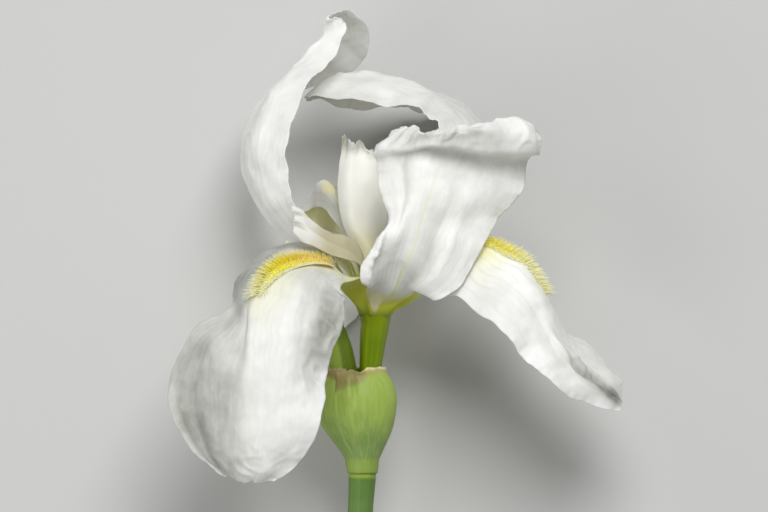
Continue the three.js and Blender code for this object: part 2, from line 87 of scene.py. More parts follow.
FALL_RIGHT = [
    [[3.8, -3, 3.3], [4.4, -3, 1.5], [5.1, -3, -0.2], 0, 0],
    [[9, 1, 5.5], [9.5, -1.5, 3], [9, 1, -0.5], 0, 0],
    [[15, 3, 10], [15.5, 3, 5], [15, 6, -1], 1, 1],
    [[22.5, 1.5, 18], [24, 12, 12], [23, 10, -5], 2.5, 2.5],
    [[26, 0.5, 23], [33, 16.5, 16], [31.5, 12, -7], 3, 2],
    [[29.5, -3, 27], [39.5, 14, 18], [37.5, 9.5, -7], 3, 2],
    [[34.5, -6.5, 30], [45, 10.5, 20], [42.5, 5, -6], 3, 1.5],
    [[39.5, -11, 32], [49.5, 4, 21], [47.5, 0, -5], 3, 1.5],
    [[43, -15.5, 33], [53, -3, 22], [52, -6, -4], 3, 1],
    [[47, -19.5, 34], [55.5, -9.5, 22], [58, -10.5, 0], 3, 0.5],
    [[51.5, -23.5, 34], [59, -15.5, 23], [64, -13.5, 3], 3, 0.5],
    [[57, -28, 33], [63.5, -20, 24], [68.5, -17, 6], 2.5, 0.5],
    [[62.5, -30, 30], [68, -24, 24], [71.5, -21.5, 10], 2, 1],
    [[68, -32, 27], [71.5, -27.5, 23], [73, -25.5, 14], 1, 0.5],
    [[73, -33, 22], [73.5, -30.5, 20], [73.5, -28, 17], 0, 0],
]
FALL_BACK = [
    [[1.4, -3, -4.7], [-0.5, -3, -4.3], [-2.4, -3, -4], 0, 0],
    [[1.2, 5, -9.5], [-2, 4, -9], [-4.5, 4.5, -9.5], 0, 0],
    [[0.5, 13, -15], [-4, 14, -13.5], [-7, 12, -15], 0.5, 0.5],
    [[-1, 22, -20], [-6.5, 23, -17.5], [-10, 20.5, -18], 1, 1],
    [[-3, 28.5, -25], [-9.5, 30, -22], [-14, 27, -24], 2, 3.5],
    [[-4, 30.5, -31], [-12, 33.5, -29], [-18, 28, -32], 2.5, 4],
    [[-4.5, 27, -37], [-14.5, 32, -36], [-22, 26, -39], 2, 3.5],
    [[-4.5, 20.5, -40], [-17, 27, -40.5], [-25, 21.5, -43], 1.5, 1.5],
    [[-3.5, 11.5, -41], [-18.5, 17.5, -42], [-28.5, 15, -44], 1, 1],
    [[-3.5, 3, -40], [-20, 6.5, -41], [-31.5, 7, -43], 1, 1],
    [[-5, -4.5, -37], [-21.5, -4, -38], [-32.5, -3.5, -40], 1, 1],
    [[-10, -10, -35], [-21.5, -12.5, -35], [-28.5, -11, -37], 0.5, 0.5],
]
STANDARD_FRONT = [
    [[2.9, -3, 4], [1, -3, 4.3], [-0.8, -3, 4.6], 0, 0],
    [[8.5, 0.8, 8], [3, 0, 7.5], [-1.2, 1, 8], 0, 0],
    [[13.5, 3, 14], [5.5, 3.5, 12.5], [-1.5, 5, 14], 0.5, 0],
    [[19, 0.5, 22], [7, 9, 17], [-3.5, 5, 24], 1, -1],
    [[25.5, 4, 25], [8.5, 13, 21], [-2, 11, 27], 2, -1],
    [[30, 11.5, 23], [10.5, 18.5, 24], [0.5, 17.5, 26], 1.5, 0],
    [[34.5, 20, 20], [12, 25.5, 26], [3.5, 23.5, 22], 1.5, 1],
    [[39.5, 26.5, 17], [14, 32, 27], [3, 30, 18], 2, 1],
    [[44, 33, 15], [15.5, 38, 27], [1, 37, 16], 2, 1],
    [[46.5, 40.5, 16], [17, 43, 27], [0, 42, 15], 2, 1],
    [[49.5, 44.5, 23], [19, 46, 31], [0.5, 45, 15], 1.5, 1],
    [[49.5, 50, 26], [20.5, 49, 33], [4, 49.5, 14], 1, 0.5],
    [[44.5, 56, 25], [22.5, 51, 31], [8.5, 51.5, 12], 0, 0],
]
STANDARD_LEFT = [
    [[-4.4, -3, 0.2], [-3.8, -3, -1.4], [-3.2, -3, -3.1], 0, 0],
    [[-6.5, 9.5, 1], [-8, 8.5, -4], [-8.5, 11, -9], 0.5, 0.5],
    [[-14.5, 19, 0], [-16.5, 14.5, -9], [-17, 18, -18], 2, 2],
    [[-19.5, 24, 3], [-23.5, 18, -12], [-24, 22.5, -27], 3, 3],
    [[-23, 28, 6], [-30.5, 24.5, -14], [-30, 27, -32], 3, 2.5],
    [[-25.5, 32.5, 8], [-35, 31, -15], [-33, 33.5, -36], 3.5, 2.5],
    [[-26, 39, 7], [-38.5, 38, -16], [-34.5, 40, -38], 3.5, 3],
    [[-25.5, 46.5, 6], [-39.5, 46, -16], [-34.5, 46.5, -38], 3.5, 3],
    [[-24.5, 54, 4], [-37, 53.5, -17], [-32, 53.5, -38], 3.5, 3],
    [[-22, 60.5, 1], [-32.5, 61, -18], [-27, 60.5, -38], 3.5, 3],
    [[-18.5, 66, -3], [-27, 67, -19], [-21, 64.5, -38], 3, 3],
    [[-15, 70.5, -7], [-21.5, 74, -20], [-13, 67.5, -38], 2.5, 2.5],
    [[-11.5, 74.5, -10], [-17, 77.5, -20], [-5, 70, -36], 2, 2.5],
    [[-9, 79, -12], [-15.5, 80.5, -18], [-1.5, 77, -31], 1.5, 3],
    [[-8.5, 82.5, -12], [-15, 83.5, -14.5], [-2.5, 84, -24], 1.5, 2.5],
    [[-10, 85, -12], [-13, 85.5, -12], [-7, 87.5, -17], 0.5, 1],
]
STANDARD_BACK = [
    [[2.5, -3, -4.1], [3.7, -3, -2.8], [4.9, -3, -1.3], 0, 0],
    [[6.5, 12, -16], [9.5, 11.5, -10], [7.5, 11, -5], 1, 1],
    [[15, 27, -30], [20, 25.5, -19], [15, 26, -7], 3, 2],
    [[22.5, 39.5, -41], [28, 38, -25], [19, 37, -6], 3.5, 3.5],
    [[27, 48, -48], [33.5, 48, -30], [20, 46.5, -4], 3.5, 3.5],
    [[25.5, 54.5, -52], [31.5, 55, -33], [19, 52.5, -7], 2.5, 2.5],
    [[20, 57.5, -52], [25, 60, -33], [16.5, 55.5, -9], 2.5, 2.5],
    [[12, 58.5, -49], [15.5, 64, -31], [13.5, 57.5, -11], 2.5, 2.5],
    [[3.5, 58.5, -44], [6, 67.5, -28], [6.5, 58.5, -13], 2.5, 2.5],
    [[-5.5, 58, -38], [-4.5, 69, -26], [-2.5, 60, -14], 2.5, 2.5],
    [[-11, 58.5, -31], [-12.5, 68, -23], [-11, 60, -15], 2, 2],
    [[-16.5, 61, -25], [-18, 64.5, -20], [-16, 62, -15], 1, 1],
    [[-20.5, 60, -19], [-21.5, 61.5, -17], [-19.5, 61, -16], 0, 0],
]
STYLE_LEFT = [
    [[-1.8, -3, 0.2], [-1, -3, 1.1], [-0.2, -3, 2], 0, 0],
    [[-3.5, 14, 3], [-5, 11.5, 8], [-3.5, 9.5, 11], 0.5, 0.5],
    [[-8.5, 19, 7], [-9, 15.5, 13], [-8, 12, 17], 1, 1],
    [[-14, 20.5, 11], [-14, 18, 17], [-12.5, 13.5, 20], 1, 1],
    [[-18.5, 23.5, 15], [-18.5, 21, 21], [-17.5, 16, 23], 1, 1],
    [[-21.5, 26.5, 18], [-21.5, 23.5, 24], [-21.5, 17.5, 26], 0.5, 0.5],
    [[-25, 27.5, 21], [-24, 24, 26], [-24.5, 20.5, 28], 0, 0],
]
STYLE_RIGHT = [
    [[1.5, -3, 1.7], [1.9, -3, 0.6], [2.3, -3, -0.5], 0, 0],
    [[6.5, 7.5, 6], [7, 10, 3], [6.5, 12, -1], 0.5, 0.5],
    [[12, 11, 9], [12.5, 15.5, 5], [11.5, 18, 0], 1, 1],
    [[18, 15, 10], [18, 20, 6], [17, 23, 1], 1, 1],
    [[23, 19.5, 11], [22.5, 24.5, 7], [21.5, 27, 3], 1, 1],
    [[26, 23.5, 11], [26, 28, 8], [25.5, 31, 4], 0.5, 0.5],
]
STYLE_BACK = [
    [[1.2, -3, -1.9], [0, -3, -1.7], [-1.2, -3, -1.5], 0, 0],
    [[3.5, 13, -7], [-1, 14, -4], [-5, 13, -6], 0.5, 0.5],
    [[4, 22.5, -10.5], [-4.5, 23, -7], [-9.5, 22.5, -9], 1, 1],
    [[4.5, 31.5, -14.5], [-5, 32, -11], [-11, 31.5, -12.5], 1, 1],
    [[4, 39, -17], [-5, 40.5, -14], [-10.5, 39.5, -15], 1, 1],
    [[3, 42, -17], [-4, 45, -15], [-10, 45, -15.5], 0.5, 0.5],
    [[0.5, 44.5, -15], [-4.5, 48, -14], [-9.5, 49.5, -12], 0, 0],
]

# Stamens and green parts, through stations of [x, y, z, radius]
STAMENS = {
    "left": [
        [-1.9, -3, 1.8, 0.35], [-4.5, 4, 6, 0.4], [-7.5, 10, 10, 0.4], [-9.5, 12.4, 11.5, 0.9],
        [-12, 14.5, 13.5, 1], [-14.5, 16.5, 15.5, 1], [-16.5, 18, 17.3, 0.4],
    ],
    "right": [
        [3, -3, 1, 0.35], [6.5, 3, 2.5, 0.4], [11.5, 8.5, 5, 0.4], [14, 11, 6, 0.9],
        [17.5, 14, 6.5, 1], [20.5, 17, 7.5, 1], [22.5, 19, 8, 0.4],
    ],
    "back": [
        [-0.2, -3, -2.8, 0.35], [-1.2, 4, -5.3, 0.4], [-2.5, 13, -8.5, 0.4], [-3.2, 17, -10, 0.9],
        [-4, 22, -11.5, 1], [-4.8, 27, -13.5, 1], [-5, 30, -15, 0.4],
    ],
}
FLOWER_TUBE = [
    [-2.6, STEM_TOP + GAP, 0.4, 1.5], [-2.4, -46, 0.5, 1.5], [-1.2, -41, 0.8, 2], [-0.3, -35, 1, 3.2],
    [-0.4, -28, 0.8, 3.4], [-1, -21, 0.2, 3.2], [-0.7, -16, 0, 3.5], [-0.2, -11, 0, 3.9],
    [0.3, -7, 0, 4.2], [0.3, TUBE_TOP, 0, 4.8],
]
SIDE_BUD = [
    [-4.9, STEM_TOP + GAP, -0.7, 0.6], [-5, -46, -0.7, 0.7], [-6.5, -41, -1, 2.1],
    [-8.3, -33, -1.3, 3.9], [-9, -24, 0, 4.3], [-10.5, -14, 0.5, 3.8], [-13.5, -5, 0, 2.8],
    [-16.5, 3, -0.5, 1.4], [-18.5, 7, -1, 0.5],
]
STEM = [
    [-3.5, STEM_TOP, 0, 4.0], [-3.5, -51.2, 0, 4.1], [-3.5, -52.7, 0, 4.15], [-3.6, -55.5, -0.1, 4],
    [-4, -62, -0.5, 3.8], [-4.6, -75, -2, 3.8], [-5.1, -93, -5, 3.9], [-5.5, -115, -9, 4],
]

# Spathe: the bulb's outline at rising heights, as [height, centre, half width, half depth]
SPATHE = [
    [STEM_TOP + GAP, -3.5, 4.2, 4.2], [-45, -3.8, 6.3, 5.8], [-41, -4.5, 8.7, 7.7], [-37.5, -5, 10.5, 9],
    [-33, -5.2, 11.6, 9.8], [-29, -5.2, 11.7, 9.8], [-25, -5.4, 10.8, 9], [-22, -5.9, 9.8, 8.2],
    [-19.6, -6, 9.1, 7.6], [-12, -7.5, 9.2, 7.2],
]


# Curves and surfaces


def weights(place, count):
    """First station and four weights of a smooth curve, at each place from 0 to 1 over the stations."""
    scaled = np.clip(place, 0, 1) * (count - 1)
    first = np.minimum(scaled.astype(int), count - 2)
    f = scaled - first
    shares = [
        (-f + 2 * f**2 - f**3) / 2,
        (2 - 5 * f**2 + 3 * f**3) / 2,
        (f + 4 * f**2 - 3 * f**3) / 2,
        (-(f**2) + f**3) / 2,
    ]
    return first, np.stack(shares, -1)


def carried_on(stations):
    """Stations with one more at each end, so that a curve through them leaves its ends straight."""
    before = 2 * stations[:1] - stations[1:2]
    after = 2 * stations[-1:] - stations[-2:-1]
    return np.concatenate([before, stations, after])


def smooth(stations, place):
    """Smooth curve through stations of any width, at each place from 0 to 1."""
    stations = np.asarray(stations, float)
    first, shares = weights(np.asarray(place, float), len(stations))
    near = carried_on(stations)[first[..., None] + np.arange(4)]
    return (near * shares[..., None]).sum(-2)


def unit(vectors):
    return vectors / np.linalg.norm(vectors, axis=-1, keepdims=True)


def petal_surface(rows):
    """Middle surface of a petal, over u along it and v across it, both from 0 to 1."""
    margins = np.array([[row[0], row[1], row[2]] for row in rows], float)
    swells = np.array([row[3:] for row in rows], float)
    midrib = margins[:, 1]
    along = np.roll(midrib, -1, 0) - np.roll(midrib, 1, 0)
    along[0] = midrib[1] - midrib[0]
    along[-1] = midrib[-1] - midrib[-2]
    out = unit(np.cross(along, margins[:, 2] - margins[:, 0]))
    first_half = (midrib + margins[:, 0]) / 2 + out * swells[:, :1]
    second_half = (midrib + margins[:, 2]) / 2 + out * swells[:, 1:]
    rails = np.stack([margins[:, 0], first_half, midrib, second_half, margins[:, 2]], 1)
    padded = carried_on(carried_on(rails).swapaxes(0, 1)).swapaxes(0, 1)

    def surface(u, v):
        i, along_shares = weights(u, len(rows))
        j, across_shares = weights(v, rails.shape[1])
        four = np.arange(4)
        near = padded[(i[..., None] + four)[..., :, None], (j[..., None] + four)[..., None, :]]
        return np.einsum("...a,...b,...abk->...k", along_shares, across_shares, near)

    return surface


def grid(u_steps, v_steps):
    return np.meshgrid(np.linspace(0, 1, u_steps + 1), np.linspace(0, 1, v_steps + 1), indexing="ij")


def normals(points):
    """Unit normals of a grid of points, on the side that swells."""
    return unit(np.cross(np.gradient(points, axis=0), np.gradient(points, axis=1)))


def fade(x, start, end):
    """From 0 at start to 1 at end, easing in and out."""
    t = np.clip((x - start) / (end - start), 0, 1)
    return t * t * (3 - 2 * t)


RIPPLE_WAVES = 9


def ripples(points, size, seed):
    """Smooth uneven waves between about -1 and 1, each about size long, over points in millimetres."""
    roll = np.random.default_rng(seed)
    total = 0
    for _ in range(RIPPLE_WAVES):
        direction = unit(roll.normal(size=3))
        length = size * roll.uniform(0.7, 1.6)
        total = total + np.sin(points @ direction * 2 * np.pi / length + roll.uniform(0, 2 * np.pi))
    return total / math.sqrt(RIPPLE_WAVES)


# How fast a crease falls off from its crest, and where its flat valley begins, as a share of a ripple
CREASE_FALL = 2.4
VALLEY = 0.8


def creases(points, size, seed):
    """Crumpled folds about size apart, from 1 at their sharp crests to nearly -1 in the valleys."""
    return 1 - CREASE_FALL * np.minimum(np.abs(ripples(points, 2 * size, seed)), VALLEY)


def sheet_places(points, stretch):
    """Place of each point over a sheet, in millimetres along and across it. What is drawn over these
    places comes out longer along the sheet by the stretch."""
    along = np.cumsum(np.linalg.norm(np.gradient(points, axis=0), axis=-1).mean(1)) / stretch
    across = np.cumsum(np.linalg.norm(np.gradient(points, axis=1), axis=-1), axis=1)
    across = across - across[:, [points.shape[1] // 2]]
    return np.stack([np.broadcast_to(along[:, None], across.shape), across, 0 * across], -1)


def hump(x, middle, reach, height):
    """A soft hump along x, of a height at its middle."""
    return height * np.exp(-(((x - middle) / reach) ** 2))


def bump(u, v, middle_u, middle_v, reach_u, reach_v, height):
    """A soft bump on a sheet, or a hollow where its height is below zero."""
    return height * np.exp(-(((u - middle_u) / reach_u) ** 2) - ((v - middle_v) / reach_v) ** 2)


# Meshes


def laid_down(points, lowest=0.0):
    """Points of the flower's frame as they lie on the floor, none of them nearer to it than asked."""
    lying = points @ np.array(LAID.to_3x3()).T + np.array(LAID.translation) / MM
    lying[..., 2] = np.maximum(lying[..., 2], lowest)
    return lying


def add_piece(name, node, points, faces, marks, material):
    """Mesh piece that stands for a node. The points are given as they lie, in millimetres."""
    mesh = bpy.data.meshes.new(name)
    mesh.from_pydata((points.reshape(-1, 3) * MM).tolist(), [], faces)
    for mark, values in marks.items():
        mesh.attributes.new(mark, "FLOAT", "POINT").data.foreach_set("value", np.ravel(values).astype("f"))
    mesh.shade_smooth()
    mesh.materials.append(material)
    piece = bpy.data.objects.new(name, mesh)
    bpy.context.scene.collection.objects.link(piece)
    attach(piece, "root")
    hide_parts(node)


def sheet_faces(rows, columns):
    """Quads of a closed sheet of two like grids, an upper and a lower one, joined round their rim."""
    index = np.arange(rows * columns).reshape(rows, columns)
    under = rows * columns
    upper = np.stack([index[:-1, :-1], index[1:, :-1], index[1:, 1:], index[:-1, 1:]], -1).reshape(-1, 4)
    lower = upper[:, ::-1] + under
    rim = np.concatenate([index[0, :], index[1:, -1], index[-1, -2::-1], index[-2:0:-1, 0]])
    after = np.roll(rim, -1)
    sides = np.stack([rim, after, after + under, rim + under], -1)
    return np.concatenate([upper, lower, sides]).tolist()


def add_sheet(name, node, middle, thickness, marks, material):
    """Thin closed sheet round a grid of points of the flower's frame, with marks on both faces."""
    middle = laid_down(middle, thickness / 2)
    lift = normals(middle) * thickness[..., None] / 2
    points = np.concatenate([middle + lift, middle - lift])
    both = {mark: np.concatenate([values, values]) for mark, values in marks.items()}
    both["underside"] = np.concatenate([np.zeros_like(thickness), np.ones_like(thickness)])
    faces = sheet_faces(*middle.shape[:2])
    add_piece(name, node, points, faces, both, material)


# How far on each side of a place the points lie from which a direction is taken, as a share of the length
NEARBY = 0.01


def tube_rings(stations, steps, sides, shape):
    """Rings of points round a bent axis through stations of [x, y, z, radius], and the place of each
    point along the axis and round it, from 0 to 1. The shape makes the radius wider or narrower."""
    t = np.linspace(0, 1, steps + 1)
    path = smooth(stations, t)
    centre = path[:, :3]
    ahead = unit(smooth(stations, t + NEARBY)[:, :3] - smooth(stations, t - NEARBY)[:, :3])
    side = unit(np.cross(ahead, [0, 0, 1]))
    front = np.cross(side, ahead)
    turn = np.arange(sides) * 2 * np.pi / sides
    radius = path[:, 3, None] * shape(t[:, None], turn[None, :])
    rings = centre[:, None] + radius[..., None] * (
        side[:, None] * np.cos(turn)[None, :, None] + front[:, None] * np.sin(turn)[None, :, None]
    )
    around = np.broadcast_to(turn / (2 * np.pi), radius.shape)
    return rings, np.broadcast_to(t[:, None], radius.shape), around


def tube_faces(rings, sides):
    """Quads round a stack of rings, with a flat face on each end."""
    index = np.arange(rings * sides).reshape(rings, sides)
    after = np.roll(index, -1, 1)
    walls = np.stack([index[:-1], index[1:], after[1:], after[:-1]], -1).reshape(-1, 4)
    return walls.tolist() + [index[0].tolist(), index[-1][::-1].tolist()]


# A dome has a few rings, and the last one stops this share of the way to the tip, where a face closes it.
DOME_RINGS = 4
DOME_END = 0.94


def rounded(rings, depth):
    """Rings with the far end drawn in to a dome, as deep as asked for its radius."""
    middle = rings[-1].mean(0)
    ahead = unit(middle - rings[-2].mean(0))
    radius = np.linalg.norm(rings[-1] - middle, axis=-1).mean()
    angles = np.linspace(0, np.pi / 2, DOME_RINGS + 1)[1:]
    angles[-1] *= DOME_END
    height = ahead * radius * depth
    caps = [middle + (rings[-1] - middle) * math.cos(angle) + height * math.sin(angle) for angle in angles]
    return np.concatenate([rings, np.array(caps)])


def add_stalk(name, node, stations, steps, sides, shape, material, dome=1.0, pale=None):
    """Round piece along an axis, with a domed far end, and marked paler where asked over its length and
    turn, where a painted highlight goes.
    """
    rings, along, across = tube_rings(stations, steps, sides, shape)
    along = np.concatenate([along, np.ones((DOME_RINGS, sides))])
    across = np.concatenate([across, across[:DOME_RINGS]])
    marks = {"along": along, "across": across}
    if pale:
        marks["pale"] = pale(along, across * 2 * np.pi)
    points = rounded(rings, dome)
    faces = tube_faces(len(points), sides)
    add_piece(name, node, laid_down(points), faces, marks, material)


# Shader nodes


def node(tree, kind, inputs=None, **settings):
    """New node with its settings, whose inputs are linked from sockets or set to values."""
    made = tree.nodes.new(kind)
    for key, value in settings.items():
        setattr(made, key, value)
    for key, value in (inputs or {}).items():
        if isinstance(value, bpy.types.NodeSocket):
            tree.links.new(value, made.inputs[key])
        else:
            made.inputs[key].default_value = value
    return made


def maths(tree, operation, first, second=0.0, third=0.0):
    inputs = {0: first, 1: second, 2: third}
    return node(tree, "ShaderNodeMath", inputs, operation=operation).outputs[0]


def ramped(tree, value, start, end, low=0.0, high=1.0):
    """Value eased from low, where it is at start, to high, where it is at end. The start may be above
    the end. The materials below give the places or levels of noise between which a colour turns."""
    inputs = {"Value": value, "From Min": start, "From Max": end, "To Min": low, "To Max": high}
    made = node(tree, "ShaderNodeMapRange", inputs, interpolation_type="SMOOTHSTEP")
    return made.outputs["Result"]


def blended(tree, share, first, second):
    """Colour from the first to the second, by a share. The node's colours are its inputs 6 and 7."""
    return node(tree, "ShaderNodeMix", {0: share, 6: first, 7: second}, data_type="RGBA").outputs[2]


def spotted(tree, along, across, middle_u, middle_v, reach_u, reach_v):
    """Share from 1 at the middle of a soft spot to 0 outside it."""
    far_u = maths(tree, "DIVIDE", maths(tree, "SUBTRACT", along, middle_u), reach_u)
    far_v = maths(tree, "DIVIDE", maths(tree, "SUBTRACT", across, middle_v), reach_v)
    away = maths(tree, "ADD", maths(tree, "MULTIPLY", far_u, far_u), maths(tree, "MULTIPLY", far_v, far_v))
    return ramped(tree, away, 1.2, 0.4)


def marked(tree, mark):
    return node(tree, "ShaderNodeAttribute", attribute_name=mark).outputs["Fac"]


def color_of(setting):
    return (*setting, 1.0)


def tinted(tree, color, share, tint):
    """Colour turned by a share to a tint from the settings."""
    return blended(tree, share, color, color_of(tint))


def within(tree, value, rise, fall):
    """Share that eases in from one value to the next, and out again over two others."""
    return maths(tree, "MULTIPLY", ramped(tree, value, *rise), ramped(tree, value, *fall))


def new_group(name, inputs, outputs):
    """Empty shader node group, whose inputs are given as {name: default}. All its sockets are floats."""
    group = bpy.data.node_groups.new(name, "ShaderNodeTree")
    for key, default in inputs.items():
        socket = group.interface.new_socket(key, in_out="INPUT", socket_type="NodeSocketFloat")
        socket.default_value = default
    for key in outputs:
        group.interface.new_socket(key, in_out="OUTPUT", socket_type="NodeSocketFloat")
    return group, group.nodes.new("NodeGroupInput").outputs, group.nodes.new("NodeGroupOutput").inputs


def vein_group():
    """Lengthwise veins over a sheet, which fork into twice as many further along, and uneven streaks."""
    if "Veins" in bpy.data.node_groups:
        return bpy.data.node_groups["Veins"]
    inputs = {"Along": 0.0, "Across": 0.0, "Count": 16.0, "Wobble": 0.05, "Fork": 0.4}
    tree, given, wanted = new_group("Veins", inputs, ["Lines", "Streaks"])
    place = node(tree, "ShaderNodeTexCoord").outputs["Object"]
    noise_inputs = {"Vector": place, "Scale": 90.0, "Detail": 2.0}
    noise = node(tree, "ShaderNodeTexNoise", noise_inputs).outputs["Fac"]
    sway = maths(tree, "MULTIPLY", maths(tree, "SUBTRACT", noise, 0.5), given["Wobble"])
    across = maths(tree, "ADD", given["Across"], sway)
    turns = maths(tree, "MULTIPLY", maths(tree, "MULTIPLY", across, given["Count"]), 2 * math.pi)

    def crest(angle, sharpness):
        wave = maths(tree, "MULTIPLY_ADD", maths(tree, "COSINE", angle), 0.5, 0.5)
        return maths(tree, "POWER", wave, sharpness)

    coarse = crest(turns, 9.0)
    forked = crest(maths(tree, "MULTIPLY", turns, 2.0), 7.0)
    forking = ramped(tree, given["Along"], given["Fork"], maths(tree, "ADD", given["Fork"], 0.25))
    lines = maths(tree, "MAXIMUM", coarse, maths(tree, "MULTIPLY", forked, forking))
    faded = maths(tree, "MULTIPLY", lines, ramped(tree, noise, 0.3, 0.65, 0.3, 1.0))
    tree.links.new(faded, wanted["Lines"])
    onward = maths(tree, "MULTIPLY", given["Along"], 7.0)
    drawn_out = {"X": onward, "Y": maths(tree, "MULTIPLY", turns, 0.4)}
    streak_place = node(tree, "ShaderNodeCombineXYZ", drawn_out).outputs["Vector"]
    streaks = node(tree, "ShaderNodeTexNoise", {"Vector": streak_place, "Scale": 1.0, "Detail": 5.0})
    tree.links.new(streaks.outputs["Fac"], wanted["Streaks"])
    return tree


def mottle_group():
    """Soft uneven patches and a fine grain, both from 0 to 1."""
    if "Mottle" in bpy.data.node_groups:
        return bpy.data.node_groups["Mottle"]
    inputs = {"Patch Scale": 120.0, "Grain Scale": 1500.0}
    tree, given, wanted = new_group("Mottle", inputs, ["Patches", "Grain"])
    place = node(tree, "ShaderNodeTexCoord").outputs["Object"]
    patch_inputs = {"Vector": place, "Scale": given["Patch Scale"], "Detail": 3.0}
    grain_inputs = {"Vector": place, "Scale": given["Grain Scale"], "Detail": 2.0}
    tree.links.new(node(tree, "ShaderNodeTexNoise", patch_inputs).outputs["Fac"], wanted["Patches"])
    tree.links.new(node(tree, "ShaderNodeTexNoise", grain_inputs).outputs["Fac"], wanted["Grain"])
    return tree


def grouped(tree, group, inputs):
    return node(tree, "ShaderNodeGroup", inputs, node_tree=group).outputs


def mottled(tree, patch_scale, grain_scale):
    return grouped(tree, mottle_group(), {"Patch Scale": patch_scale, "Grain Scale": grain_scale})


def new_material(name):
    """Material with its node tree and its surface shader."""
    material = bpy.data.materials.new(name)
    material.use_nodes = True
    return material, material.node_tree, material.node_tree.nodes["Principled BSDF"]


def veined_skin(name, veins, patch_scale, grain_scale):
    """Material with all that the skin of a sheet or stalk is drawn from: the place along and across it,
    its veins and its mottle."""
    material, tree, shader = new_material(name)
    along = marked(tree, "along")
    across = marked(tree, "across")
    lines = grouped(tree, vein_group(), {"Along": along, "Across": across, **veins})
    return material, tree, shader, along, across, lines, mottled(tree, patch_scale, grain_scale)


def cover(tree, shader, color, roughness, height, depth):
    """Give the shader its colour and roughness, and a relief as deep as asked, in metres."""
    inputs = {"Height": height, "Distance": depth, "Strength": 1.0}
    normal = node(tree, "ShaderNodeBump", inputs).outputs["Normal"]
    tree.links.new(color, shader.inputs["Base Color"])
    tree.links.new(roughness, shader.inputs["Roughness"])
    tree.links.new(normal, shader.inputs["Normal"])


# Depths of relief in metres, and the share of it that is fine grain
HAIR_DEPTH = 0.00008
POWDER_DEPTH = 0.00012
STALK_DEPTH = 0.00008
BRACT_DEPTH = 0.0001
GRAIN_SHARE = 0.4


def vein_relief(tree, lines, mottle, vein_height, streak_height):
    """Height of grain, veins and streaks together. Veins below zero are furrows."""
    height = maths(tree, "MULTIPLY", mottle["Grain"], GRAIN_SHARE)
    height = maths(tree, "MULTIPLY_ADD", lines["Lines"], vein_height, height)
    return maths(tree, "MULTIPLY_ADD", lines["Streaks"], streak_height, height)


def let_light_in(shader, weight, radius, scale, gloss):
    """Let light some way into the tissue, by a radius for each colour, and set how bright its gloss is."""
    shader.inputs["Subsurface Weight"].default_value = weight
    shader.inputs["Subsurface Radius"].default_value = radius
    shader.inputs["Subsurface Scale"].default_value = scale
    shader.inputs["Specular IOR Level"].default_value = gloss


# Petal materials


def petal_material(name, settings, petal, claw_end, vein_count):
    """White petal: green at the claw, a green midrib, fine veins, and a yellow tint beside a beard. Where
    it is marked thin it is darkened by a grey painted shade, and in the back fall's hollow it turns olive,
    partly its own green and partly painted shade.
    """
    veins = {"Count": vein_count, "Fork": 0.35, "Wobble": 0.12}
    material, tree, shader, along, across, lines, mottle = veined_skin(name, veins, 150.0, 1400.0)

    def off(middle):
        return maths(tree, "ABSOLUTE", maths(tree, "SUBTRACT", across, middle))

    color = blended(tree, ramped(tree, mottle["Patches"], 0.35, 0.7), color_of(settings.color),
                    color_of(settings.shade_color))
    color = tinted(tree, color, ramped(tree, lines["Streaks"], 0.4, 0.75, 0.0, 0.5), settings.shade_color)
    streaked = maths(tree, "MULTIPLY_ADD", lines["Streaks"], 0.6, mottle["Patches"])
    # Painted shade: where a petal is marked thin, its colour turns towards a dark grey that stands for
    # shade in its folds and thin, glassy parts.
    thin = maths(tree, "MULTIPLY", marked(tree, "thin"), ramped(tree, streaked, 0.5, 1.1, 0.7, 1.0))
    color = tinted(tree, color, thin, settings.thin_shade_color)
    dark = ramped(tree, along, 0.7, 0.25, settings.vein_strength, 5 * settings.vein_strength)
    color = tinted(tree, color, maths(tree, "MULTIPLY", lines["Lines"], dark), settings.vein_color)
    if "throat" in petal:
        end, strength, width = petal["throat"]
        inside = within(tree, along, (0.12, 0.2), (end + 0.12, end - 0.05))
        beside = maths(tree, "MULTIPLY", inside, ramped(tree, off(0.5), width, 0.0))
        color = tinted(tree, color, maths(tree, "MULTIPLY", beside, strength), settings.throat_color)
    rib_place, rib_width, rib_end, rib_strength = petal["midrib"]
    from_rib = maths(tree, "DIVIDE", off(rib_place), ramped(tree, along, 0.4, 0.05, 1.0, 4.0))
    ending = ramped(tree, along, rib_end, 0.0)
    rib = maths(tree, "MULTIPLY", ramped(tree, from_rib, rib_width, 0.0), ending)
    color = tinted(tree, color, maths(tree, "MULTIPLY", rib, rib_strength), settings.midrib_color)
    # Painted shade: the underside of the back fall's arch turns olive, the green of its haft darkened as
    # if in the arch's shade.
    if "hollow" in petal:
        start, end = petal["hollow"]
        inside = within(tree, along, (start, start + 0.05), (end, end - 0.1))
        under = maths(tree, "MULTIPLY", marked(tree, "underside"), inside)
        color = tinted(tree, color, under, settings.hollow_shade_color)
    uneven = maths(tree, "MULTIPLY_ADD", lines["Streaks"], 0.06, maths(tree, "SUBTRACT", along, 0.03))
    haft = ramped(tree, uneven, claw_end * 1.7, claw_end * 0.55)
    color = tinted(tree, color, haft, settings.haft_color)
    claw = ramped(tree, uneven, claw_end, claw_end * 0.4)
    color = tinted(tree, color, claw, settings.claw_color)
    if "spot" in petal:
        spot = spotted(tree, along, across, *petal["spot"])
        color = tinted(tree, color, spot, settings.spot_color)
    color = tinted(tree, color, ramped(tree, along, 0.04, 0.0), settings.root_color)
    roughness = ramped(tree, mottle["Grain"], 0.3, 0.7, 0.42, 0.58)
    relief = vein_relief(tree, lines, mottle, -0.12, 0.9)
    cover(tree, shader, color, roughness, relief, settings.vein_depth)
    let_light_in(shader, weight=0.45, radius=(1.0, 1.0, 0.85), scale=0.0014, gloss=0.3)
    shader.inputs["Sheen Weight"].default_value = 0.12
    shader.inputs["Sheen Roughness"].default_value = 0.4
    return material


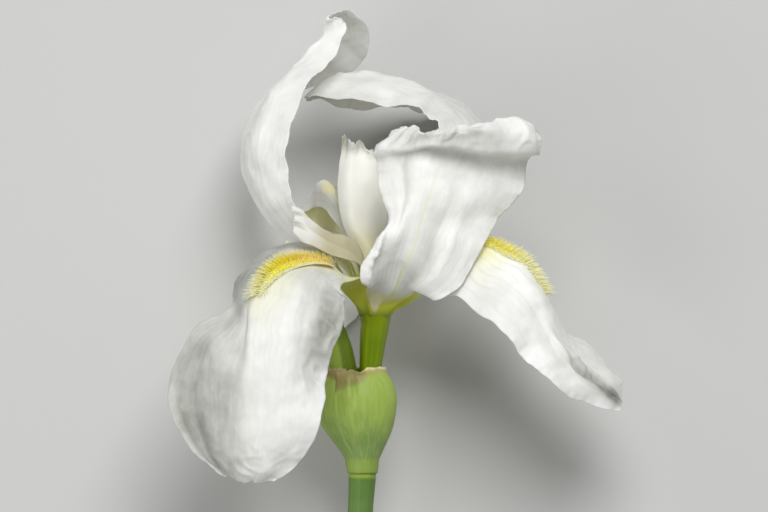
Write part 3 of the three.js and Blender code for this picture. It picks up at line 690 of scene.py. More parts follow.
def hair_material(name, settings, beard):
    """Beard: orange in the throat and yellow beyond, turning pale between two places and at the tips.
    Its hairs also give off a little painted light in their own colour, standing for light shining through
    them."""
    material, tree, shader = new_material(name)
    along = marked(tree, "along")
    mottle = mottled(tree, 700.0, 2500.0)
    orange_end = ramped(tree, along, beard["orange"] - 0.15, beard["orange"] + 0.2)
    color = blended(tree, orange_end, color_of(settings.throat_color), color_of(settings.middle_color))
    color = tinted(tree, color, ramped(tree, along, *beard["pale"]), settings.end_color)
    color = tinted(tree, color, ramped(tree, marked(tree, "tip"), 0.2, 2.0), settings.tip_color)
    patched = ramped(tree, mottle["Patches"], 0.4, 0.7, 0.0, 0.15)
    color = tinted(tree, color, patched, settings.middle_color)
    roughness = ramped(tree, mottle["Patches"], 0.2, 0.8, 0.5, 0.7)
    cover(tree, shader, color, roughness, mottle["Grain"], HAIR_DEPTH)
    # Painted light: the hairs emit their own colour a little, as if lit through, though they are no lamp.
    tree.links.new(color, shader.inputs["Emission Color"])
    shader.inputs["Emission Strength"].default_value = beard["painted_glow"]
    let_light_in(shader, weight=0.85, radius=(1.0, 0.9, 0.3), scale=0.003, gloss=0.2)
    return material


def style_material(name, settings, base_color, base_end):
    """Style arm: white with a cream flush, another colour as far up from its base as asked, and grey
    painted shade in the valleys of the folds on its crest."""
    veins = {"Count": 7.0, "Fork": 0.2}
    material, tree, shader, along, _, lines, mottle = veined_skin(name, veins, 160.0, 1500.0)
    flush = maths(tree, "MULTIPLY", ramped(tree, lines["Streaks"], 0.3, 0.7, 0.3, 1.0),
                  ramped(tree, along, 1.0, 0.3, 0.1, 0.7))
    color = blended(tree, flush, color_of(settings.style_color), color_of(settings.style_flush_color))
    # Painted shade: the crest is greyed where the fold mark says its folds sink into valleys.
    crest = maths(tree, "MULTIPLY", ramped(tree, along, 0.74, 0.95), marked(tree, "fold"))
    color = tinted(tree, color, crest, settings.crest_shade_color)
    uneven = maths(tree, "MULTIPLY_ADD", lines["Streaks"], 0.1, maths(tree, "SUBTRACT", along, 0.05))
    base = ramped(tree, uneven, base_end + 0.16, base_end - 0.1)
    color = tinted(tree, color, base, base_color)
    color = tinted(tree, color, ramped(tree, along, 0.12, 0.0), settings.haft_color)
    roughness = ramped(tree, mottle["Grain"], 0.3, 0.7, 0.42, 0.58)
    relief = vein_relief(tree, lines, mottle, 0.0, 1.0)
    cover(tree, shader, color, roughness, relief, settings.vein_depth)
    let_light_in(shader, weight=0.45, radius=(1.0, 0.95, 0.75), scale=0.0014, gloss=0.3)
    return material


def stamen_material(settings):
    """Stamen: a pale green filament and a powdery cream anther."""
    material, tree, shader = new_material("stamen")
    mottle = mottled(tree, 700.0, 3500.0)
    anther = ramped(tree, marked(tree, "along"), 0.4, 0.55)
    color = blended(tree, anther, color_of(settings.filament_color), color_of(settings.pollen_color))
    powder = ramped(tree, mottle["Grain"], 0.45, 0.7, 0.0, 0.35)
    color = tinted(tree, color, powder, settings.style_flush_color)
    roughness = ramped(tree, mottle["Patches"], 0.3, 0.7, 0.7, 0.95)
    cover(tree, shader, color, roughness, mottle["Grain"], POWDER_DEPTH)
    return material


# Green materials


def green_material(name, base_color, end_color, stripe_and_highlight_color, stripes, turning, roughness, share=0.3):
    """Waxy green skin with lengthwise stripes of a strength, which is their share. It turns from one
    colour to another over a stretch of its length, and a painted highlight turns it to the stripe colour
    where it is marked pale."""
    veins = {"Count": stripes, "Wobble": 0.01}
    material, tree, shader, along, _, lines, mottle = veined_skin(name, veins, 130.0, 1800.0)
    color = blended(tree, ramped(tree, along, *turning), color_of(base_color), color_of(end_color))
    color = tinted(tree, color, maths(tree, "MULTIPLY", lines["Lines"], share), stripe_and_highlight_color)
    color = tinted(tree, color, ramped(tree, mottle["Patches"], 0.35, 0.75, 0.0, share), stripe_and_highlight_color)
    # Painted highlight: where a piece is marked pale, its lit side is turned to the stripe colour.
    color = tinted(tree, color, marked(tree, "pale"), stripe_and_highlight_color)
    uneven = ramped(tree, mottle["Patches"], 0.3, 0.7, roughness, roughness + 0.18)
    cover(tree, shader, color, uneven, vein_relief(tree, lines, mottle, 0.5, 0.6), STALK_DEPTH)
    let_light_in(shader, weight=0.15, radius=(0.6, 1.0, 0.2), scale=0.001, gloss=0.25)
    return material


def bract_material(name, settings, band, patch):
    """Spathe valve: light green with fine veins, tan and then papery towards its rim, and withered in a
    patch. The band is (start, end), the patch (along, across, reach along, reach across)."""
    veins = {"Count": 18.0, "Wobble": 0.02}
    material, tree, shader, along, across, lines, mottle = veined_skin(name, veins, 170.0, 1700.0)
    patched = maths(tree, "MULTIPLY_ADD", mottle["Patches"], 0.5, maths(tree, "SUBTRACT", along, 0.25))
    color = blended(tree, ramped(tree, patched, 0.1, 0.6), color_of(settings.bract_base_color),
                    color_of(settings.bract_color))
    color = tinted(tree, color, maths(tree, "MULTIPLY", lines["Lines"], 0.05), settings.bract_vein_color)
    streaked = ramped(tree, lines["Streaks"], 0.4, 0.75, 0.0, 0.45)
    color = tinted(tree, color, streaked, settings.bract_vein_color)
    color = tinted(tree, color, ramped(tree, along, 0.12, 0.0, 0.0, 0.6), settings.node_color)
    uneven = maths(tree, "MULTIPLY_ADD", mottle["Patches"], 0.1, maths(tree, "SUBTRACT", along, 0.05))
    uneven = maths(tree, "MULTIPLY_ADD", lines["Streaks"], 0.06, maths(tree, "SUBTRACT", uneven, 0.03))
    tan = ramped(tree, uneven, band[0] - 0.04, band[0] + 0.05, 0.0, 0.75)
    color = tinted(tree, color, tan, settings.tan_color)
    papery = ramped(tree, uneven, band[1] - 0.03, band[1] + 0.03)
    color = tinted(tree, color, papery, settings.papery_color)
    withered = maths(tree, "MULTIPLY", spotted(tree, uneven, across, *patch), 0.75)
    color = tinted(tree, color, withered, settings.brown_color)
    roughness = ramped(tree, uneven, band[0], band[1], 0.45, 0.75)
    cover(tree, shader, color, roughness, vein_relief(tree, lines, mottle, 0.0, 1.2), BRACT_DEPTH)
    let_light_in(shader, weight=0.2, radius=(0.7, 1.0, 0.25), scale=0.001, gloss=0.3)
    return material


# Settings


def color_setting(name, description, default):
    return bpy.props.FloatVectorProperty(
        name=name, description=description, default=default, subtype="COLOR", min=0, max=1
    )


def length_setting(name, description, default):
    return bpy.props.FloatProperty(
        name=name, description=description, default=default, min=0, unit="LENGTH", precision=5
    )


def power_setting(name, description, default):
    return bpy.props.FloatProperty(
        name=name, description=description, default=default, min=0, unit="POWER"
    )


class IrisPetalSettings(bpy.types.PropertyGroup):
    """Sizes and colours of the petals, style arms and stamens."""

    thickness: length_setting("Thickness", "Thickness of a petal along its midrib", 0.0006)
    margin_thickness: length_setting("Margin Thickness", "Thickness of a petal at its margin", 0.00025)
    vein_depth: length_setting("Vein Depth", "Depth of the fine veins", 0.000035)
    vein_strength: bpy.props.FloatProperty(
        name="Vein Strength", description="How dark the veins are",
        default=0.06, min=0, max=1, subtype="FACTOR",
    )
    color: color_setting("Petal", "Colour of the petals", (0.87, 0.87, 0.835))
    shade_color: color_setting("Petal Patches", "Colour of soft uneven patches", (0.8, 0.8, 0.765))
    # Thin Parts is a painted shade: the dark grey that the marked thin parts and folds turn to.
    thin_shade_color: color_setting("Thin Parts", "Colour where a petal is thin and glassy", (0.25, 0.26, 0.235))
    vein_color: color_setting("Veins", "Colour of the veins", (0.5, 0.53, 0.4))
    midrib_color: color_setting("Midrib", "Colour of the midribs", (0.6, 0.7, 0.28))
    throat_color: color_setting("Throat", "Yellow tint beside the beards", (0.86, 0.83, 0.21))
    haft_color: color_setting("Haft", "Colour between the claw and the blade", (0.7, 0.7, 0.26))
    claw_color: color_setting("Claw", "Colour of the claws", (0.63, 0.66, 0.07))
    root_color: color_setting("Root", "Colour of the claws where they leave the tube", (0.3, 0.38, 0.01))
    spot_color: color_setting("Spot", "Cream spots by the throat", (0.95, 0.87, 0.55))
    # Hollow is partly the olive green of the haft and partly painted shade under the back fall's arch.
    hollow_shade_color: color_setting("Hollow", "Underside of the back fall's arch", (0.7, 0.67, 0.38))
    style_color: color_setting("Style Arm", "Colour of the style arms", (0.87, 0.865, 0.82))
    style_flush_color: color_setting("Style Flush", "Cream along a style arm", (0.87, 0.84, 0.7))
    style_base_color: color_setting("Style Base", "Cream at the base of a style arm", (0.78, 0.73, 0.46))
    # Left Style is the cream of a style arm's base darkened to taupe, a painted shade on the left arm
    # only.
    style_left_shade_color: color_setting("Left Style", "Taupe of the left style arm", (0.54, 0.5, 0.34))
    # Style Crest is painted shade, laid in the valleys of the crests' folds.
    crest_shade_color: color_setting("Style Crest", "Greyish folds of the crests", (0.5, 0.52, 0.44))
    filament_color: color_setting("Filament", "Colour of the filaments", (0.7, 0.72, 0.48))
    pollen_color: color_setting("Anther", "Colour of the anthers", (0.82, 0.76, 0.5))


class IrisBeardSettings(bpy.types.PropertyGroup):
    """Sizes and colours of the beards."""

    hair_length: length_setting("Hair Length", "Length of the longest hairs", 0.0041)
    hair_radius: length_setting("Hair Radius", "Radius of a hair at its root", 0.00017)
    spacing: length_setting("Spacing", "Distance between the rows of hairs", 0.0008)
    throat_color: color_setting("Throat", "Hairs in the throat", (0.93, 0.62, 0.0))
    middle_color: color_setting("Middle", "Hairs half-way along", (0.95, 0.82, 0.01))
    end_color: color_setting("Outer End", "Hairs at the outer end", (0.97, 0.95, 0.48))
    tip_color: color_setting("Tips", "Tips of the hairs", (0.97, 0.96, 0.62))


class IrisGreenSettings(bpy.types.PropertyGroup):
    """Colours of the stem, the bud, the flower tube and the spathe."""

    tube_color: color_setting("Flower Tube", "Colour of the flower tube", (0.15, 0.24, 0.0))
    tube_top_color: color_setting("Tube Top", "Colour of the tube at the claws", (0.26, 0.34, 0.004))
    # Tube Stripes is both the tube's pale stripes and the painted highlight down its left side.
    tube_stripe_and_highlight_color: color_setting("Tube Stripes", "Pale stripes of the tube", (0.3, 0.4, 0.01))
    bud_color: color_setting("Bud", "Colour of the bud", (0.1, 0.16, 0.004))
    bud_tip_color: color_setting("Bud Tip", "Colour of the bud's tip", (0.16, 0.23, 0.02))
    # Bud Side is both the bud's stripes and patches and the painted highlight on its lit side.
    bud_stripe_and_lit_side_color: color_setting("Bud Side", "Bright side and margins of the bud", (0.38, 0.5, 0.08))
    bract_color: color_setting("Spathe", "Colour of the spathe", (0.34, 0.47, 0.08))
    bract_base_color: color_setting("Spathe Base", "Colour of the spathe at the joint", (0.21, 0.33, 0.09))
    bract_vein_color: color_setting("Spathe Veins", "Colour of the spathe's veins", (0.47, 0.57, 0.2))
    tan_color: color_setting("Tan Band", "Colour of the spathe under its rim", (0.44, 0.38, 0.14))
    papery_color: color_setting("Papery Rim", "Dry rim of the spathe", (0.74, 0.66, 0.4))
    brown_color: color_setting("Brown Patch", "Withered patch of the spathe", (0.27, 0.2, 0.08))
    node_color: color_setting("Joint", "Colour of the stem's joint", (0.28, 0.38, 0.05))
    stem_color: color_setting("Stem", "Colour of the stem", (0.11, 0.21, 0.04))
    stem_stripe_color: color_setting("Stem Bloom", "Waxy bloom on the stem", (0.2, 0.32, 0.12))


class IrisStageSettings(bpy.types.PropertyGroup):
    """Floor, lights and camera."""

    floor_color: color_setting("Floor", "Colour of the floor", (0.54, 0.54, 0.53))
    key_power: power_setting("Key Light", "Power of the main softbox", 7.3)
    fill_power: power_setting("Fill Light", "Power of the weaker softbox", 1.0)
    low_power: power_setting("Low Light", "Power of the softbox by the stem", 2.2)
    sky_strength: bpy.props.FloatProperty(
        name="Room Light", description="Even light from all round", default=0.22, min=0
    )
    camera_distance: length_setting("Camera Distance", "Distance from the throat to the camera", 2.0)
    view_width: length_setting("View Width", "Width of the picture at the throat", 0.2304)


# Petals

PETAL_STEPS = (170, 120)

# A beard reaches from one place along its fall to another, on a ridge of a height. Its inner end lies
# off the midrib by a shift, and its hairs lean to one side by a tilt in degrees, turn pale between two
# places along it and give off a little painted light of their own, standing for light shining through
# them. Folds are (along, across, reach along, reach across, height). Thin parts are painted shade, a dark
# grey where a petal is thin and glassy or lies in shade, as (along, across, reach along, reach across,
# share). Crumples have the size of their creases and how far these are drawn out along the petal as
# well. Notches are (across, width, depth), and a midrib is (across, width, end, strength). A throat, the
# yellow tint beside a beard, is (end, strength, width). A hollow is the part of the underside that is
# olive, its green tint darkened by painted shade under the back fall's arch, as (start, end), and a spot
# of another colour is (along, across, reach along, reach across).
FALLS = {
    "left": {
        "rows": FALL_LEFT, "phase": 0, "seed": 11,
        "throat": (0.44, 0.2, 0.3), "midrib": (0.5, 0.03, 0.35, 0.3),
        "beard": {
            "reach": (0.2, 0.44), "ridge": 1.3, "hairs": 1.0, "tilt": -38, "shift": 2.0,
            "orange": 0.45, "pale": (0.6, 1.0), "painted_glow": 0.05,
        },
        "folds": [
            (0.56, 0.5, 0.18, 0.05, 0.9), (0.62, 0.39, 0.2, 0.06, -1.0), (0.6, 0.62, 0.2, 0.06, -0.4),
            (0.53, 1.0, 0.13, 0.13, -1.0), (0.52, 0.85, 0.13, 0.03, 0.6), (0.82, 0.16, 0.14, 0.08, -1.8),
            (0.85, 0.0, 0.12, 0.03, 1.3), (0.92, 0.7, 0.08, 0.08, 0.8), (0.38, 0.14, 0.1, 0.12, -1.0),
            (0.26, 0.74, 0.09, 0.13, -2.0),
        ],
        "thin": [
            (0.76, 0.13, 0.24, 0.25, 0.9), (0.4, 0.1, 0.12, 0.28, 1.5), (0.5, 0.95, 0.13, 0.11, 0.9),
            (0.74, 0.38, 0.2, 0.1, 0.3), (0.95, 0.4, 0.09, 0.4, 0.35), (0.87, 0.12, 0.12, 0.07, 0.5),
            (0.33, 0.74, 0.1, 0.2, 0.5), (0.65, 0.6, 0.3, 0.4, 0.1),
        ],
        "crumples": [
            (0.53, 0.97, 0.15, 0.12, 0.5, 2.6, 1.3), (0.75, 0.72, 0.2, 0.2, 0.2, 3.5, 4),
            (0.92, 0.4, 0.1, 0.6, 0.2, 3, 1),
        ],
        "notches": [(0.3, 0.03, 0.02), (0.62, 0.04, 0.015)],
    },
    "right": {
        "rows": FALL_RIGHT, "phase": 2, "seed": 12,
        "throat": (0.28, 1.1, 0.45), "midrib": (0.5, 0.03, 0.35, 0.3),
        "beard": {
            "reach": (0.22, 0.52), "ridge": 0.5, "hairs": 0.85, "tilt": 20, "shift": 0,
            "orange": -0.3, "pale": (0.2, 0.85), "painted_glow": 0.07,
        },
        "folds": [
            (0.66, 0.29, 0.05, 0.035, 1.2), (0.74, 0.37, 0.05, 0.035, 1.3), (0.82, 0.44, 0.05, 0.035, 1.3),
            (0.9, 0.51, 0.05, 0.035, 1.0), (0.7, 0.22, 0.06, 0.05, -1.2), (0.78, 0.3, 0.06, 0.05, -1.6),
            (0.86, 0.37, 0.06, 0.05, -1.6), (0.93, 0.42, 0.05, 0.05, -1.2), (0.5, 0.25, 0.12, 0.08, -0.7),
        ],
        "thin": [
            (0.84, 0.32, 0.14, 0.1, 1.0), (0.94, 0.4, 0.07, 0.2, 1.0), (0.4, 0.12, 0.14, 0.12, 0.2),
            (0.85, 0.75, 0.2, 0.15, 0.2),
        ],
        "crumples": [(0.85, 0.34, 0.14, 0.1, 0.6, 2.4, 1.6), (0.7, 0.5, 0.3, 0.5, 0.12, 5, 3)],
        "notches": [(0.4, 0.05, 0.015)],
    },
    "back": {
        "rows": FALL_BACK, "phase": 4, "seed": 13,
        "throat": (0.43, 0.9, 0.3), "midrib": (0.5, 0.03, 0.35, 0.3),
        "hollow": (0.3, 0.75), "spot": (0.4, 0.64, 0.05, 0.18),
        "beard": {
            "reach": (0.2, 0.43), "ridge": 0.5, "hairs": 0.35, "tilt": 0, "shift": 0,
            "orange": -0.3, "pale": (0.5, 1.0), "painted_glow": 0.0,
        },
        "folds": [(0.43, 0.78, 0.09, 0.2, 1.2), (0.7, 0.3, 0.15, 0.08, 0.8), (0.8, 0.7, 0.15, 0.08, -0.8)],
        "thin": [(0.9, 0.5, 0.15, 0.5, 0.25)],
        "crumples": [(0.85, 0.5, 0.2, 0.5, 0.3, 6, 1.5)],
        "notches": [(0.6, 0.04, 0.02)],
    },
}
STANDARDS = {
    "front": {
        "rows": STANDARD_FRONT, "phase": 0, "seed": 21, "midrib": (0.44, 0.018, 0.95, 0.6),
        "spot": (0.065, 0.72, 0.06, 0.2),
        "folds": [
            (0.43, 0.22, 0.16, 0.06, 0.6), (0.42, 0.31, 0.18, 0.05, -0.9), (0.45, 0.07, 0.08, 0.06, 0.5),
            (0.33, 0.93, 0.16, 0.05, 1.2), (0.33, 1.0, 0.16, 0.03, -1.4), (0.84, 0.5, 0.025, 0.6, 0.7),
            (0.78, 0.5, 0.045, 0.6, -0.9), (0.92, 0.08, 0.08, 0.06, 1.3), (0.92, 0.0, 0.08, 0.03, -1.6),
            (0.65, 0.75, 0.2, 0.06, -0.6), (0.92, 0.95, 0.07, 0.02, 0.8), (0.92, 0.9, 0.07, 0.02, -0.7),
            (0.92, 0.85, 0.06, 0.02, 0.7), (0.92, 0.8, 0.06, 0.02, -0.6), (0.93, 0.74, 0.05, 0.025, 0.6),
        ],
        "thin": [
            (0.78, 0.55, 0.06, 0.5, 0.6), (0.92, 0.75, 0.06, 0.3, 0.5), (0.91, 0.4, 0.05, 0.25, 0.5),
            (0.32, 0.34, 0.14, 0.09, 0.6),
        ],
        "crumples": [
            (0.33, 0.95, 0.16, 0.09, 0.28, 3.5, 0.4), (0.96, 0.72, 0.09, 0.3, 0.8, 5, 1),
            (0.97, 0.4, 0.08, 0.2, 0.9, 4, 1), (0.92, 0.05, 0.1, 0.1, 0.4, 3.5, 1),
            (0.5, 0.5, 0.3, 0.4, 0.06, 5, 4),
        ],
        "notches": [
            (0.73, 0.05, 0.05), (0.57, 0.02, 0.02), (0.47, 0.02, 0.02), (0.25, 0.04, 0.02),
            (0.0, 0.06, 0.05),
        ],
    },
    "left": {
        "rows": STANDARD_LEFT, "phase": 0, "seed": 22, "midrib": (0.5, 0.02, 0.8, 0.3),
        "folds": [
            (0.5, 0.2, 0.08, 0.08, 0.6), (0.62, 0.15, 0.05, 0.08, -0.6), (0.75, 0.3, 0.1, 0.05, 0.6),
        ],
        "thin": [(0.93, 0.75, 0.12, 0.3, 0.25), (0.6, 0.5, 0.3, 0.12, 0.1)],
        "crumples": [
            (0.98, 0.4, 0.06, 0.5, 0.6, 4, 1), (0.55, 0.36, 0.3, 0.16, 0.3, 8, 0.45),
            (0.6, 0.25, 0.3, 0.15, 0.1, 4, 3),
        ],
        "notches": [(0.6, 0.04, 0.01)],
    },
    "back": {
        "rows": STANDARD_BACK, "phase": 0, "seed": 23, "midrib": (0.5, 0.02, 0.8, 0.3),
        "folds": [(0.6, 0.3, 0.1, 0.08, 0.5), (0.75, 0.7, 0.06, 0.08, -0.5)],
        "thin": [(0.8, 0.95, 0.2, 0.2, 0.2), (0.48, 0.5, 0.1, 0.5, 0.3)],
        "crumples": [(0.75, 0.5, 0.3, 0.8, 0.3, 6, 1), (0.6, 0.5, 0.3, 0.5, 0.12, 4, 4)],
        "notches": [],
    },
}
# Ruffles as (height, waves along each margin), and puckers as {size: height}, which are lower in a calm
# spot where a beard would lie
FALL_RUFFLE = (0.9, 4)
STANDARD_RUFFLE = (0.8, 5)
PUCKERS = {12: 0.28, 5: 0.08, 2.4: 0.035}
CALM_SPOT = (0.34, 0.5, 0.15, 0.1, 0.8)
# Margins are nibbled by a share of the width, and tips are ragged by a share of the length.
NIBBLE = 0.02
RAGGED = 0.01
# A claw runs down on the tube, and is pressed into it by a share of its distance from the tube's axis.
# It is wider than its rows by a share, so that it meets the claws beside it.
TUBE_AXIS = np.array([0.3, 0, 0])
CLAW_ROOT = 1.8
CLAW_PRESS = 0.08
CLAW_SPREAD = 0.35


def petal_outline(petal, u, v):
    """Places on a petal whose margins are nibbled and whose tip is notched."""
    roll = np.random.default_rng(petal["seed"])
    a, b, c = roll.uniform(0, 2 * np.pi, 3)
    off = np.abs(2 * v - 1)
    side = np.where(v < 0.5, 0, 3.9)
    nibble = np.abs(np.sin(31 * u + a + side + 2 * np.sin(9 * u + b))) * (0.6 + 0.4 * np.sin(73 * u + c))
    across = 0.5 + (v - 0.5) * (1 - NIBBLE * nibble * off**10 * fade(u, 0.15, 0.35))
    ragged = RAGGED * np.abs(np.sin(17 * v + b + 1.5 * np.sin(7 * v + c)))
    for notch in petal["notches"]:
        ragged = ragged + hump(v, *notch)
    return u * (1 - ragged * u**12), across


def petal_points(petal, ruffle):
    """Grid of points on a petal's middle surface, with its ruffles, folds, crumples and fine puckers.
    Two sets of finer waves ride on the ruffle, close to the margin."""
    u, v = grid(*PETAL_STEPS)
    points = petal_surface(petal["rows"])(*petal_outline(petal, u, v))
    a, b = np.random.default_rng(petal["seed"] + 100).uniform(0, 2 * np.pi, 2)
    off = np.abs(2 * v - 1)
    side = np.where(v < 0.5, 0, 1.3)
    height, waves = ruffle
    lift = height * off**3 * np.minimum(1, 4 * u) * np.sin(2 * np.pi * waves * u + petal["phase"] + side)
    fine = np.sin(2 * np.pi * (2.6 * waves * u + 0.4 * np.sin(5 * u + a)) + 2 * side + b)
    finer = np.sin(2 * np.pi * (8 * waves * u + 0.5 * np.sin(11 * u + b)) + 3 * side)
    lift = lift + height * fade(u, 0.2, 0.4) * (0.25 * off**5 * fine + 0.1 * off**9 * finer)
    calm = 1 - bump(u, v, *CALM_SPOT)
    for size, share in PUCKERS.items():
        pucker = ripples(points, size, petal["seed"] + round(size))
        lift = lift + share * calm * fade(u, 0.1, 0.35) * pucker
    for place in petal["folds"]:
        lift = lift + bump(u, v, *place)
    for *place, size, stretch in petal["crumples"]:
        lift = lift + bump(u, v, *place) * creases(sheet_places(points, stretch), size, petal["seed"] + 60)
    return points + normals(points) * lift[..., None]


def petal_thickness(settings):
    """Thickness over a petal in millimetres, full along the midrib and thin at the margins and tip."""
    u, v = grid(*PETAL_STEPS)
    outer = np.maximum(np.abs(2 * v - 1), fade(u, 0.8, 1.0)) ** 2
    return (settings.thickness + (settings.margin_thickness - settings.thickness) * outer) / MM


def add_petal(name, node, petal, ruffle, material, settings):
    u, v = grid(*PETAL_STEPS)
    middle = petal_points(petal, ruffle)
    rib = middle[:, [PETAL_STEPS[1] // 2]]
    middle = middle + (middle - rib) * CLAW_SPREAD * fade(u, 0.2, 0.04)[..., None]
    root = fade(u, 0.05, 0.0)[..., None]
    middle = middle + root * (CLAW_PRESS * (TUBE_AXIS - middle) * [1, 0, 1] - [0, CLAW_ROOT, 0])
    # The thin mark says where painted shade darkens the petal.
    thin = sum(bump(u, v, *place) for place in petal["thin"])
    marks = {"along": u, "across": v, "thin": np.minimum(thin, 1)}
    add_sheet(name, node, middle, petal_thickness(settings), marks, material)


class IRIS_OT_falls(bpy.types.Operator):
    """Add the three falls, the hanging petals"""

    bl_idname = "iris.falls"
    bl_label = "Add Falls"

    def execute(self, context):
        settings = context.scene.iris_petals
        for side, petal in FALLS.items():
            material = petal_material(f"{side} fall", settings, petal, claw_end=0.15, vein_count=13.0)
            add_petal(f"{side}_fall", f"fall_{side}", petal, FALL_RUFFLE, material, settings)
        return {"FINISHED"}


class IRIS_OT_standards(bpy.types.Operator):
    """Add the three standards, the upright petals"""

    bl_idname = "iris.standards"
    bl_label = "Add Standards"

    def execute(self, context):
        settings = context.scene.iris_petals
        for side, petal in STANDARDS.items():
            material = petal_material(f"{side} standard", settings, petal, claw_end=0.1, vein_count=15.0)
            add_petal(f"{side}_standard", f"standard_{side}", petal, STANDARD_RUFFLE, material, settings)
        return {"FINISHED"}


# Beards

BEARD_HALF_WIDTH = 2.6
BEARD_CLEARANCE = 0.1
RIDGE_STEPS = (60, 16)
RIDGE_RIM = 0.2
# Each row of the comb has a few hairs, which fan out this far to each side, in degrees.
COMB_HAIRS = 6
COMB_SPREAD = 34
# More hairs go on down the side that a beard leans to, and down the other one, as (degrees beyond the
# comb, last angle, hairs in a row). They are thinner, their rows lie further apart, and those on the
# other side are shorter, each by a share.
LEANING_SIDE = (6, 88, 3)
OTHER_SIDE = (10, 80, 6)
SIDE_RADIUS = 0.7
SIDE_SPACING = 1.1
OTHER_SIDE_LENGTH = 0.36
# Hairs are rooted this far out and up on the ridge, as shares of its half width and height.
ROOT_OUT = 0.75
ROOT_UP = 0.8
# How unevenly hairs stand, how far their tips droop along the fall, and how unevenly
HAIR_SCATTER = 0.05
DROOP = 0.15
DROOP_SCATTER = 0.06
# Width of a hair from its root to its tip, as shares of its radius, and the corners of each ring
HAIR_TAPER = np.array([1, 0.95, 0.85, 0.65, 0.3])
HAIR_SIDES = 4
HAIR_POINTS = len(HAIR_TAPER) * HAIR_SIDES


def beard_place(petal):
    """Point above a fall's midrib, over how far along the beard, how far sideways and how high it is."""
    surface = petal_surface(petal["rows"])
    start, end = petal["beard"]["reach"]

    def place(along, sideways, height):
        u = start + (end - start) * along
        span = np.linalg.norm(surface(u, u * 0 + 0.55) - surface(u, u * 0 + 0.45), axis=-1) / 0.1
        v = 0.5 + (sideways + petal["beard"]["shift"] * fade(along, 0.9, 0.1)) / span
        run = surface(u + NEARBY, v) - surface(u - NEARBY, v)
        breadth = surface(u, v + NEARBY) - surface(u, v - NEARBY)
        return surface(u, v) + unit(np.cross(run, breadth)) * np.asarray(height)[..., None]

    return place


def beard_half_width(along):
    return BEARD_HALF_WIDTH * (0.25 + 0.75 * np.sin(np.pi * (0.08 + 0.84 * along)))


def hair_rings(place, ridge, along, fan, length, lean, radius, roll):
    """Rings of points of hairs. Each fans out from the ridge by an angle, and leans on along the fall."""
    none = along * 0
    out = ROOT_OUT * beard_half_width(along) * np.sin(fan)
    root = place(along, out, BEARD_CLEARANCE + ridge * np.cos(fan) * ROOT_UP)
    upward = unit(place(along, none, none + 3) - place(along, none, none + 1))
    onward = unit(place(along + 0.03, none, none + 1) - place(along - 0.03, none, none + 1))
    sideways = unit(np.cross(onward, upward))
    breadth = place(along, none + 1, none) - place(along, none, none)
    sideways = sideways * np.sign((sideways * breadth).sum(-1))[:, None]
    heading = upward * np.cos(fan)[:, None] + sideways * np.sin(fan)[:, None] + onward * lean[:, None]
    heading = unit(heading + roll.normal(0, HAIR_SCATTER, heading.shape))
    droop = onward * DROOP + roll.normal(0, DROOP_SCATTER, heading.shape)
    steps = np.linspace(0, 1, len(HAIR_TAPER))[None, :, None]
    centre = root[:, None] + length[:, None, None] * (steps * heading[:, None] + steps**2 * droop[:, None])
    side = unit(np.cross(heading, onward + 0.3 * upward))
    front = np.cross(side, heading)
    turn = (np.arange(HAIR_SIDES) * 2 * np.pi / HAIR_SIDES)[:, None]
    wide = side[:, None] * np.cos(turn) + front[:, None] * np.sin(turn)
    return centre[:, :, None] + radius * HAIR_TAPER[None, :, None, None] * wide[:, None]


def hair_rows(place, spacing, fans, roll):
    """Where each hair lies along the ridge, and its fan angle, for rows like the teeth of a comb."""
    middle = place(np.linspace(0, 1, 30), np.zeros(30), np.zeros(30))
    run = np.linalg.norm(np.diff(middle, axis=0), axis=-1).sum()
    rows = round(run / spacing)
    along = np.repeat((np.arange(rows) + 0.5) / rows, len(fans))
    along = along + roll.uniform(-0.2, 0.2, len(along)) / rows
    return along, np.tile(fans, rows) + roll.normal(0, HAIR_SCATTER, len(along))


def comb_hairs(place, beard, settings, roll):
    """Long hairs in rows along the crown of the ridge, and where each lies along it."""
    fans = np.radians(beard["tilt"] + np.linspace(-COMB_SPREAD, COMB_SPREAD, COMB_HAIRS))
    along, fan = hair_rows(place, settings.spacing / MM, fans, roll)
    length = beard["hairs"] * settings.hair_length / MM
    long = length * (0.5 + 0.5 * fade(along, 0.0, 0.5)) * roll.uniform(0.85, 1.08, len(along))
    radius = settings.hair_radius / MM
    return hair_rings(place, beard["ridge"], along, fan, long, 0.1 + 0.5 * along, radius, roll), along


def side_hairs(place, beard, settings, roll):
    """Thin hairs beyond the comb, long on the side it leans to and short on the other, and where each
    lies along the ridge."""
    tilt = beard["tilt"]
    way = 1 if tilt >= 0 else -1

    def fanned(way, beyond, last, count):
        return np.linspace(tilt + way * (COMB_SPREAD + beyond), way * last, count)

    fans = np.radians(np.concatenate([fanned(way, *LEANING_SIDE), fanned(-way, *OTHER_SIDE)]))
    along, fan = hair_rows(place, SIDE_SPACING * settings.spacing / MM, fans, roll)
    share = np.where(fan * way > math.radians(tilt * way), 1.0, OTHER_SIDE_LENGTH)
    length = beard["hairs"] * settings.hair_length / MM * share * roll.uniform(0.8, 1.1, len(along))
    radius = SIDE_RADIUS * settings.hair_radius / MM
    return hair_rings(place, beard["ridge"], along, fan, length, 0.2 + 0.4 * along, radius, roll), along


def hair_faces(count):
    one = np.array(tube_faces(len(HAIR_TAPER), HAIR_SIDES))
    return (one[None] + (np.arange(count) * HAIR_POINTS)[:, None, None]).reshape(-1, 4)


def over_hairs(count, root, tip):
    """Mark that goes from one value at the root of each hair to another at its tip."""
    return np.tile(np.repeat(np.linspace(root, tip, len(HAIR_TAPER)), HAIR_SIDES), count)


